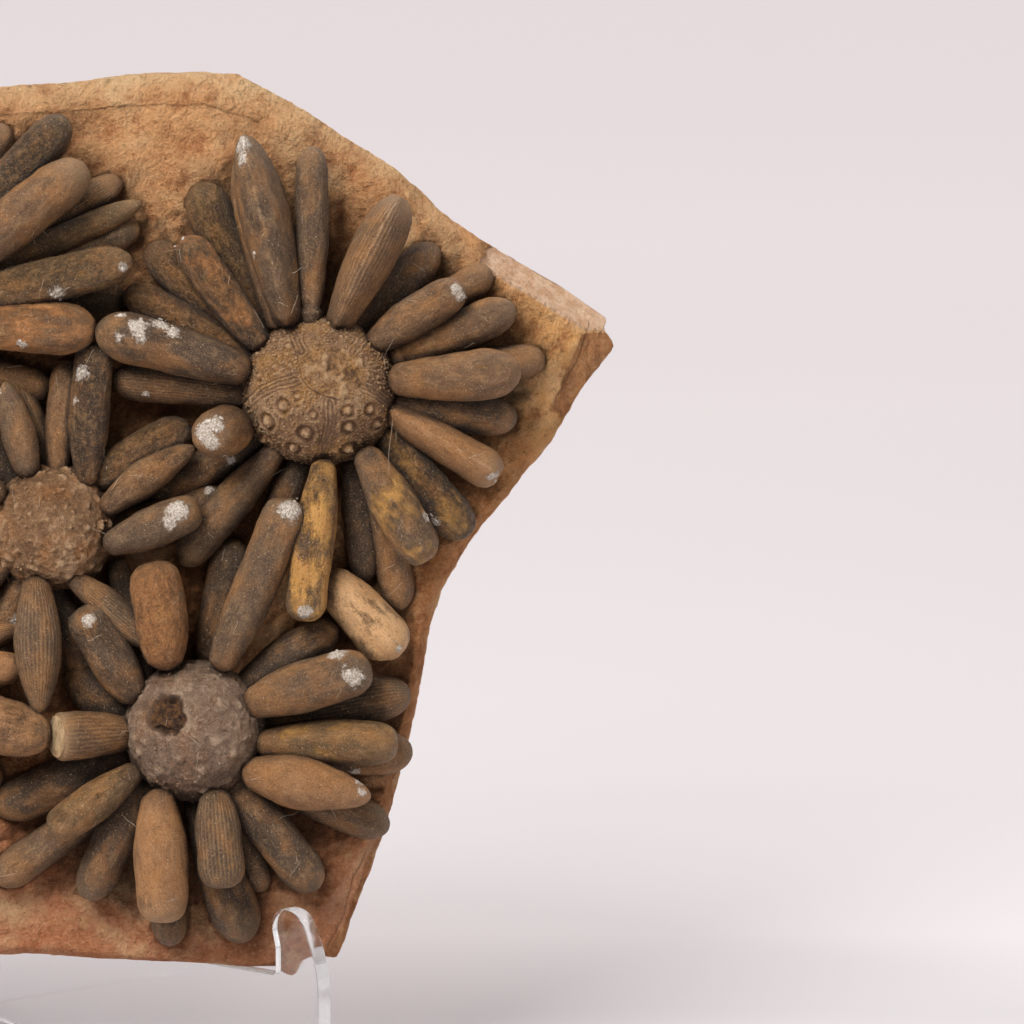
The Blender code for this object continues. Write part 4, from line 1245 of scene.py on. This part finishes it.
def scatter_granules(urchin, kind, bosses, bands, dice):
    """Small grains round each boss and between them: where on the face, and their sizes."""
    grains = []
    if urchin.shell == "cleaned":
        for boss in bosses:
            reach = boss.ring + 0.35
            count = int(2 * pi * reach / 0.8)
            for step in range(count):
                bearing = 2 * pi * step / count + dice.uniform(-0.05, 0.05)
                u, v = boss.u + reach * cos(bearing), boss.v + reach * sin(bearing)
                grains.append((u, v, dice.uniform(0.32, 0.4)))
    tries = 0
    while tries < 4 * kind.granules and len(grains) < kind.granules:
        tries += 1
        polar, bearing = np.arccos(dice.uniform(0.02, 1)), dice.uniform(0, 2 * pi)
        u = urchin.radius * sin(polar) * cos(bearing)
        v = urchin.radius * sin(polar) * sin(bearing) * kind.narrow
        apart = (0.75 * cos(polar) + 0.1) ** 2
        if all((u - other[0]) ** 2 + (v - other[1]) ** 2 > apart for other in grains):
            grains.append((u, v, dice.uniform(0.28, 0.48)))
    spots = np.array([on_dome(urchin, grain[0], grain[1])[0] for grain in grains])
    keep = np.ones(len(grains), bool)
    for boss in bosses if urchin.shell == "cleaned" else ():
        away = np.linalg.norm(spots - np.array(on_dome(urchin, boss.u, boss.v)[0]), axis=1)
        keep &= away > boss.ring * 1.02
    for band in bands:
        keep &= trail_distance(spots, urchin, band) > BAND_HALF_WIDTH
    if urchin.shell == "cleaned":
        keep &= ellipse_share(spots, urchin, TOP_PLATE) > 0.98
    if urchin.name == "lower":
        keep &= ellipse_share(spots, urchin, (*WORN_HOLE, WORN_HOLE[2])) > 1.15
    return [grain for grain, kept in zip(grains, keep) if kept]


def shell_mesh(urchin, seed):
    """The dome with its relief, and loose points where its knobs and grains will stand."""
    dice = np.random.default_rng(seed)
    kind = SHELL_KINDS[urchin.shell]
    bosses = rule_bosses(urchin, dice)
    bands = ()
    if urchin.shell == "cleaned":
        bosses, bands = CLEANED_BOSSES, CLEANED_BANDS
    elif urchin.name == "lower":
        bosses = WORN_BUMPS
    points, faces = dome_points(urchin, kind)
    grain = rough(points, 0.55, 4, seed)
    relief = kind.grain * grain + 0.45 * rough(points, 0.09, 2, seed + 5)
    relief += boss_relief(points, urchin, bosses)
    marks = np.full((len(points), 3), 99.0)
    marks[:, 2] = 0
    for band in bands:
        marks[:, 0] = np.minimum(marks[:, 0], trail_distance(points, urchin, band))
    relief -= 0.16 * np.exp(-((marks[:, 0] / BAND_HALF_WIDTH) ** 6))
    if urchin.shell == "cleaned":
        marks[:, 1] = trail_distance(points, urchin, TOP_CRACK)
        cover = 1.06 + 0.1 * grain - ellipse_share(points, urchin, TOP_PLATE)
        cover = np.clip(cover / 0.12, 0, 1)
        lobes = 0.1 + 0.9 * rough(points, 0.28, 4, 2.2) + 0.4 * rough(points, 0.9, 3, 7.2)
        relief = relief * (1 - cover) + lobes * cover
        marks[:, 0] = np.where(cover > 0.5, 99, marks[:, 0])
        marks[:, 2] = cover
    if urchin.name == "lower":
        marks[:, 2] = open_hole(points, urchin, relief, grain)
    centre = np.array((*urchin.centre, urchin.lift))
    facing = (points - centre) / dome_size(urchin) ** 2
    facing /= np.linalg.norm(facing, axis=1)[:, None]
    points = points + facing * relief[:, None]

    surface = KDTree(len(points))
    for index, point in enumerate(points):
        surface.insert(point, index)
    surface.balance()
    studs = scatter_granules(urchin, kind, bosses, bands, dice)
    if urchin.shell == "cleaned":
        studs += [(boss.u, boss.v, boss.ring * 0.18) for boss in bosses]
    places, ways = [], []
    for u, v, size in studs:
        place, way = on_dome(urchin, u, v)
        _, index, _ = surface.find(place)
        places.append(Vector(points[index]) + way * size * 0.15)
        ways.append(tuple(way))
    shell = piece_from_points(urchin.name + "_shell", list(points) + places, faces)
    store(shell.data, "size", "FLOAT", [0.0] * len(points) + [stud[2] for stud in studs])
    store(shell.data, "facing", "FLOAT_VECTOR", list(facing) + ways)
    # Studs count as raised, so the finish paints them with its highlight.
    store(shell.data, "relief", "FLOAT", list(relief) + [0.28] * len(studs))
    store(shell.data, "marks", "FLOAT_VECTOR", list(marks) + [(99, 99, 0)] * len(studs))
    return shell


def stud_tree():
    """Stands a small round stud on each point that has a size, and keeps the rest as it is."""
    sizes = (("Detail", "Int", 2), ("Flatness", "Float", 0.8), ("Material", "Material", None))
    tree, w, given = new_tree("stand_studs", sizes)
    size = named(w, "size")
    above = {"data_type": "FLOAT", "operation": "GREATER_THAN"}
    is_stud = w.out("FunctionNodeCompare", {0: size, 1: 0.0}, **above)
    ball = w.out("GeometryNodeMeshIcoSphere", {"Radius": 1.0, "Subdivisions": given["Detail"]})
    facing = named(w, "facing", "FLOAT_VECTOR")
    turn = w.out("FunctionNodeAlignRotationToVector", {"Vector": facing}, axis="Z")
    flat = w.times(size, given["Flatness"])
    spread = w.out("ShaderNodeCombineXYZ", {"X": size, "Y": size, "Z": flat})
    studs = w.out("GeometryNodeInstanceOnPoints", {
        "Points": given["Geometry"], "Selection": is_stud, "Instance": ball,
        "Rotation": turn, "Scale": spread,
    })
    real = w.out("GeometryNodeRealizeInstances", {"Geometry": studs})
    bare = {"Geometry": given["Geometry"], "Selection": is_stud}
    rest = w.out("GeometryNodeDeleteGeometry", bare)
    both = w.add("GeometryNodeJoinGeometry")
    for geometry in (real, rest):
        w.feed(both.inputs[0], geometry)
    soft = w.out("GeometryNodeSetShadeSmooth", {"Geometry": both.outputs[0]})
    end_tree(w, soft, given["Material"])
    return tree


def back_to_face(piece):
    """The piece's points in the slab's frame, in millimetres."""
    back = FACE_TO_STAND.inverted()
    points = mesh_points(piece.data)
    return points @ np.array(back.to_3x3()).T + np.array(back.translation)


def make_shell(urchin, tree, material, seed):
    shell = shell_mesh(urchin, seed)
    grow(shell, tree, material=material)
    lift_off_stone(shell)
    lean_into_place(shell)
    keep_inside(shell, "urchin_" + urchin.name)
    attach(shell, "root")
    return shell


# ---------------------------------------------------------------- chalk and lint


def front_skin(pieces):
    """What a ray cast at the face hits, in the slab's frame."""
    points, faces, first = [], [], 0
    for piece in pieces:
        points += [Vector(point) for point in back_to_face(piece)]
        faces += [[first + corner for corner in face.vertices] for face in piece.data.polygons]
        first = len(points)
    return BVHTree.FromPolygons(points, faces)


def find_nooks(skin, pieces):
    """How shut in each point is by what stands round it: 0 in the open and 1 in a crevice."""
    spread = []
    for ray in range(NOOK_RAYS):
        turn = ray * NOOK_TURN
        way = Vector((cos(turn), sin(turn), 0)) * NOOK_SPREAD
        spread.append(way * sqrt((ray + 0.5) / NOOK_RAYS))
    for piece in pieces:
        shut = []
        facings = mesh_normals(piece.data) @ np.array(SLAB_FRAME.to_3x3())
        for point, facing in zip(back_to_face(piece), facings):
            facing = Vector(facing)
            side = facing.orthogonal().normalized()
            other = facing.cross(side)
            start = Vector(point) + facing * NOOK_START
            hits = 0
            for spot in spread:
                way = side * spot.x + other * spot.y + facing * sqrt(1 - spot.length_squared)
                hits += skin.ray_cast(start, way, NOOK_REACH)[0] is not None
            shut.append(hits / NOOK_RAYS)
        store(piece.data, "nook", "FLOAT", shut)


def smear_chalk(skin, pieces):
    """How chalky each point of the clubs is: most at the middle of a chip."""
    chips = [(drop_on(skin, *chip[:2])[0], chip[2]) for chip in CHALK_CHIPS]
    for piece in pieces:
        points = back_to_face(piece)
        chalk = np.zeros(len(points))
        for place, half_width in chips:
            if place is not None:
                away = np.linalg.norm(points - np.array(place), axis=1) / (1.3 * half_width + 0.4)
                chalk = np.maximum(chalk, 1.15 - away)
        store(piece.data, "chalk", "FLOAT", chalk)


def drop_on(skin, u, v):
    place, facing, _, _ = skin.ray_cast(Vector((u, v, DROP_HEIGHT)), Vector((0, 0, -1)))
    return place, facing


def make_chalk(skin, tree, material):
    """Chips of chalk: each a crust of small flat crumbs."""
    dice = np.random.default_rng(CHALK_SEED)
    crumbs = []
    for chip_u, chip_v, half_width in CHALK_CHIPS:
        for _ in range(int(3 + 3.5 * half_width**2)):
            bearing, reach = dice.uniform(0, 2 * pi), 0.85 * half_width * dice.uniform(0, 1) ** 0.6
            reach *= 0.75 + 0.35 * sin(bearing * 3 + chip_u)
            u, v = chip_u + reach * cos(bearing), chip_v + reach * sin(bearing)
            place, facing = drop_on(skin, u, v)
            if place is None or place.z < LOWEST_CLUB:
                continue
            tilt = Vector(dice.uniform(-0.35, 0.35, 3))
            size = 0.16 + 0.4 * dice.uniform(0, 1) ** 2
            crumbs.append((place, (facing + tilt).normalized(), size))
    chalk = piece_from_points("chalk_chips", [crumb[0] for crumb in crumbs])
    store(chalk.data, "size", "FLOAT", [crumb[2] for crumb in crumbs])
    store(chalk.data, "facing", "FLOAT_VECTOR", [tuple(crumb[1]) for crumb in crumbs])
    grow(chalk, tree, detail=2, flatness=0.32, material=material)
    roughen_crumbs(chalk)
    lean_into_place(chalk)
    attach(chalk, "root")


def roughen_crumbs(chalk):
    points = mesh_points(chalk.data)
    for axis, seed in enumerate((1.5, 6.2, 9.4)):
        points[:, axis] += 0.16 * rough(points, 1.4, 2, seed)
    set_mesh_points(chalk.data, points)


def lint_tree():
    sizes = (("Thickness", "Float", 0.04), ("Material", "Material", None))
    tree, w, given = new_tree("spin_threads", sizes)
    line = w.out("GeometryNodeMeshToCurve", {"Mesh": given["Geometry"]})
    ring = {"Resolution": 5, "Radius": given["Thickness"]}
    circle = w.out("GeometryNodeCurvePrimitiveCircle", ring)
    path = {"Curve": line, "Profile Curve": circle, "Fill Caps": True}
    swept = w.out("GeometryNodeCurveToMesh", path)
    soft = w.out("GeometryNodeSetShadeSmooth", {"Geometry": swept})
    end_tree(w, soft, given["Material"])
    return tree


def make_lint(skin, material):
    """Threads of lint from one club to the next."""
    dice = np.random.default_rng(LINT_SEED)
    threads = list(LINT)
    for _ in range(LOOSE_THREADS):
        start, turn = (dice.uniform(-60, 100), dice.uniform(20, 195)), dice.uniform(0, 2 * pi)
        reach = dice.uniform(1.5, 5)
        end = (start[0] + reach * cos(turn), start[1] + reach * sin(turn))
        threads.append((start, end, dice.uniform(0.1, 0.7)))
    points, edges = [], []
    for number, (start, end, bow) in enumerate(threads):
        start_place, _ = drop_on(skin, *start)
        end_place, _ = drop_on(skin, *end)
        if start_place is None or end_place is None:
            continue
        if min(start_place.z, end_place.z) < LOWEST_CLUB:
            continue
        side = Vector((end[1] - start[1], start[0] - end[0], 0)).normalized() * (-1) ** number
        for step in range(THREAD_STEPS + 1):
            share = step / THREAD_STEPS
            rise = Vector((0, 0, 0.35 + 0.8 * bow * sin(pi * share)))
            curl = side * bow * 0.4 * sin(pi * share) * cos(share * 3)
            if step:
                edges.append((len(points) - 1, len(points)))
            points.append(start_place.lerp(end_place, share) + rise + curl)
    lint = piece_from_points("lint_threads", points, edges=edges)
    grow(lint, lint_tree(), material=material)
    lean_into_place(lint)
    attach(lint, "root")


# ---------------------------------------------------------------- the stand


def fillet(before, corner, after, radius):
    """Points of the arc that rounds one corner of an outline."""
    if radius == 0:
        return [corner]
    to_before = (before - corner).normalized()
    to_after = (after - corner).normalized()
    half_angle = to_before.angle(to_after) / 2
    reach = radius / tan(half_angle)
    centre = corner + (to_before + to_after).normalized() * radius / sin(half_angle)
    start = corner + to_before * reach - centre
    end = corner + to_after * reach - centre
    turn = start.angle_signed(end)
    steps = range(FILLET_STEPS + 1)
    return [centre + Matrix.Rotation(-turn * step / FILLET_STEPS, 2) @ start for step in steps]


def slab_back_depth(height):
    """How far behind the hook's corner the leaning slab's back is at a height."""
    up_face = (height - SHELF_HEIGHT / MM + SLAB_DEPTH * sin(LEAN)) / cos(LEAN)
    return up_face * sin(LEAN) + SLAB_DEPTH * cos(LEAN) + 2 * PLATE_CLEARANCE


def plate_outline(side):
    """The side view of one plate, with its half of the lap joint."""
    shelf = SHELF_HEIGHT / MM
    shelf_end = slab_back_depth(shelf) / cos(PLATE_ANGLE)
    shelf_drop = shelf_end * cos(PLATE_ANGLE) * tan(SHELF_SLOPE)
    rest_top = slab_back_depth(PLATE_TOP) / cos(PLATE_ANGLE)
    crossing = (HOOK_U - CROSSING_U) / sin(PLATE_ANGLE)
    tail = crossing + PLATE_END
    lap_angle = 2 * PLATE_ANGLE
    lap = (PLATE_THICKNESS / 2 + PLATE_GAP) / sin(lap_angle) + PLATE_THICKNESS / 2 / tan(lap_angle)
    half = CROSSING_HEIGHT / 2
    corners = [
        (-17, 0, 1), (-17, 42, 24), (-10, 55.7, 7), (3.2, 55.7, 5.5), (0, 45, 6), (0, shelf, 1.5),
        (shelf_end, shelf - shelf_drop, 2), (rest_top, PLATE_TOP, 4), (rest_top + 15, PLATE_TOP, 6),
        (tail - 34, CROSSING_HEIGHT + 6, 30),
    ]
    if side > 0:
        top = CROSSING_HEIGHT + 6 * (tail - crossing) / 34
        corners += [
            (crossing - lap, top, 0), (crossing - lap, half - PLATE_GAP / 2, 0.6),
            (crossing + lap, half - PLATE_GAP / 2, 0.6), (crossing + lap, top, 0),
        ]
    corners += [(tail, CROSSING_HEIGHT, 5), (tail, 0, 1)]
    if side < 0:
        corners += [
            (crossing + lap, 0, 0), (crossing + lap, half + PLATE_GAP / 2, 0.6),
            (crossing - lap, half + PLATE_GAP / 2, 0.6), (crossing - lap, 0, 0),
        ]
    points = []
    for index, (along, up, radius) in enumerate(corners):
        before = Vector(corners[index - 1][:2])
        after = Vector(corners[(index + 1) % len(corners)][:2])
        points += fillet(before, Vector((along, up)), after, radius)
    return points


def make_plate(name, side, material):
    """A clear plate with softened, polished edges."""
    curve = bpy.data.curves.new(name, "CURVE")
    curve.dimensions = "2D"
    curve.fill_mode = "BOTH"
    curve.extrude = PLATE_THICKNESS / 2 - PLATE_EDGE
    curve.bevel_depth = PLATE_EDGE
    curve.bevel_resolution = 2
    curve.offset = -PLATE_EDGE
    outline = plate_outline(side)
    spline = curve.splines.new("POLY")
    spline.points.add(len(outline) - 1)
    for point, place in zip(spline.points, outline):
        point.co = (place.x, place.y, 0, 1)
    spline.use_cyclic_u = True
    drawn = put_in_scene(name + "_outline", curve)
    evaluated = drawn.evaluated_get(bpy.context.evaluated_depsgraph_get())
    solid = bpy.data.meshes.new_from_object(evaluated)
    bpy.data.objects.remove(drawn)
    shape = bmesh.new()
    shape.from_mesh(solid)
    bmesh.ops.remove_doubles(shape, verts=shape.verts, dist=0.002)
    bmesh.ops.recalc_face_normals(shape, faces=shape.faces)
    plate = make_piece(name, shape)
    hook_u = CROSSING_U + side * (HOOK_U - CROSSING_U)
    place = ORIGIN_SHIFT + Vector((hook_u, -PLATE_CLEARANCE, 0)) * MM
    turn = Matrix.Rotation(pi / 2 + side * PLATE_ANGLE, 4, "Z") @ Matrix.Rotation(pi / 2, 4, "X")
    plate.data.transform(Matrix.Translation(place) @ turn @ Matrix.Diagonal((MM, MM, MM, 1)))
    plate.data.materials.append(material)
    return plate


def finish_plate(name, node, side, material):
    plate = make_plate(name, side, material)
    keep_inside(plate, node)
    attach(plate, "root")
    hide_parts(node)


# ---------------------------------------------------------------- studio


def make_sweep():
    """A pale floor that curves up into a backdrop well behind the object."""
    front, wall, half_width, top, bend, steps = -5.0, 3.4, 5.0, 4.5, 1.0, 16
    profile = [(front, 0.0), (wall - bend, 0.0)]
    for step in range(1, steps + 1):
        angle = step / steps * pi / 2
        profile.append((wall - bend + bend * sin(angle), bend - bend * cos(angle)))
    profile.append((wall, top))
    points = [(side * half_width, y, z) for side in (-1, 1) for y, z in profile]
    count = len(profile)
    faces = [(i, i + count, i + count + 1, i + 1) for i in range(count - 1)]
    sweep = piece_from_points("paper_sweep", points, faces)
    sweep.data.materials.append(sweep_finish())
    smooth(sweep)


# Softboxes: where each stands, what it faces, its size, its power and its colour.
MIDDLE = (0.04, -0.03, 0.14)
SOFTBOXES = (
    ("key_softbox", (-0.55, -0.95, 1.3), MIDDLE, (0.8, 0.8), 31, (1, 0.985, 0.96)),
    ("fill_softbox", (1.1, -1.3, 0.8), MIDDLE, (1.2, 1.2), 3.5, (1, 1, 1)),
    ("floor_softbox", (0.25, 0.34, 0.95), (0.25, 0.34, 0), (1.6, 0.5), 4.5, (1, 1, 1)),
)
# Light inside clear plates is thrown back many times before it leaves.
LIGHT_BOUNCES = 40


def add_softbox(name, place, target, size, power, color):
    light = bpy.data.lights.new(name, "AREA")
    light.shape = "RECTANGLE"
    light.size, light.size_y = size
    light.energy = power
    light.color = color
    box = put_in_scene(name, light)
    box.location = place
    box.visible_camera = False
    box.rotation_euler = (Vector(target) - Vector(place)).to_track_quat("-Z", "Y").to_euler()


def make_studio():
    make_sweep()
    world = bpy.data.worlds.new("soft_room")
    world.use_nodes = True
    w = Wiring(world.node_tree)
    background = world.node_tree.nodes["Background"]
    background.inputs["Color"].default_value = (1.0, 0.98, 0.97, 1)
    path = w.add("ShaderNodeLightPath").outputs
    seen = w.math("MAXIMUM", path["Is Transmission Ray"], path["Is Camera Ray"])
    w.feed(background.inputs["Strength"], w.span(seen, 0, 1, 0.12, 0.85))
    scene = bpy.context.scene
    scene.world = world
    scene.view_settings.view_transform = "Standard"
    for kind in ("max", "transmission", "glossy"):
        setattr(scene.cycles, kind + "_bounces", LIGHT_BOUNCES)
    for softbox in SOFTBOXES:
        add_softbox(*softbox)


# Where the camera stands in the slab's frame, looking straight at the face, and its lens.
CAMERA_PLACE = (103, 115, 1200)
CAMERA_LENS, CAMERA_SENSOR = 168.75, 36


def make_camera():
    data = bpy.data.cameras.new("front_camera")
    data.lens = CAMERA_LENS
    data.sensor_width = CAMERA_SENSOR
    data.clip_start = 0.01
    camera = put_in_scene("front_camera", data)
    camera.matrix_world = SLAB_FRAME @ Matrix.Translation(Vector(CAMERA_PLACE) * MM)
    bpy.context.scene.camera = camera


# ---------------------------------------------------------------- all of it

# Each kind of shell: its ground, the painted shade of its hollows, the painted highlight of its
# knobs and its crust.
SHELL_FINISHES = {
    "cleaned": (paint(164, 123, 88), paint(86, 58, 40), paint(218, 178, 136), paint(200, 144, 76)),
    "worn": (paint(156, 126, 103), paint(94, 71, 55), paint(208, 178, 150), paint(156, 108, 70)),
    "crusted": (paint(164, 123, 86), paint(104, 70, 42), paint(220, 180, 140), paint(188, 122, 62)),
}


def main():
    make_camera()
    slab = make_slab()
    clubs_grown = club_tree()
    studs_stood = stud_tree()
    club_skin = club_finish()
    shell_skins = {
        kind: shell_finish(kind + "_shell", *colors) for kind, colors in SHELL_FINISHES.items()
    }
    clubs, shells = [], []
    for number, urchin in enumerate(URCHINS):
        clubs.append(make_clubs(urchin, clubs_grown, club_skin, CLUB_SEED + number))
        shell_skin = shell_skins[urchin.shell]
        shells.append(make_shell(urchin, studs_stood, shell_skin, SHELL_SEED + number))
    pieces = [slab] + clubs + shells
    skin = front_skin(pieces)
    find_nooks(skin, pieces)
    smear_chalk(skin, clubs)
    make_chalk(skin, studs_stood, chalk_finish())
    make_lint(skin, lint_finish())
    acrylic = clear_plate_finish()
    finish_plate("right_stand_plate", "stand_plate_right", 1, acrylic)
    finish_plate("left_stand_plate", "stand_plate_left", -1, acrylic)
    make_studio()


main()
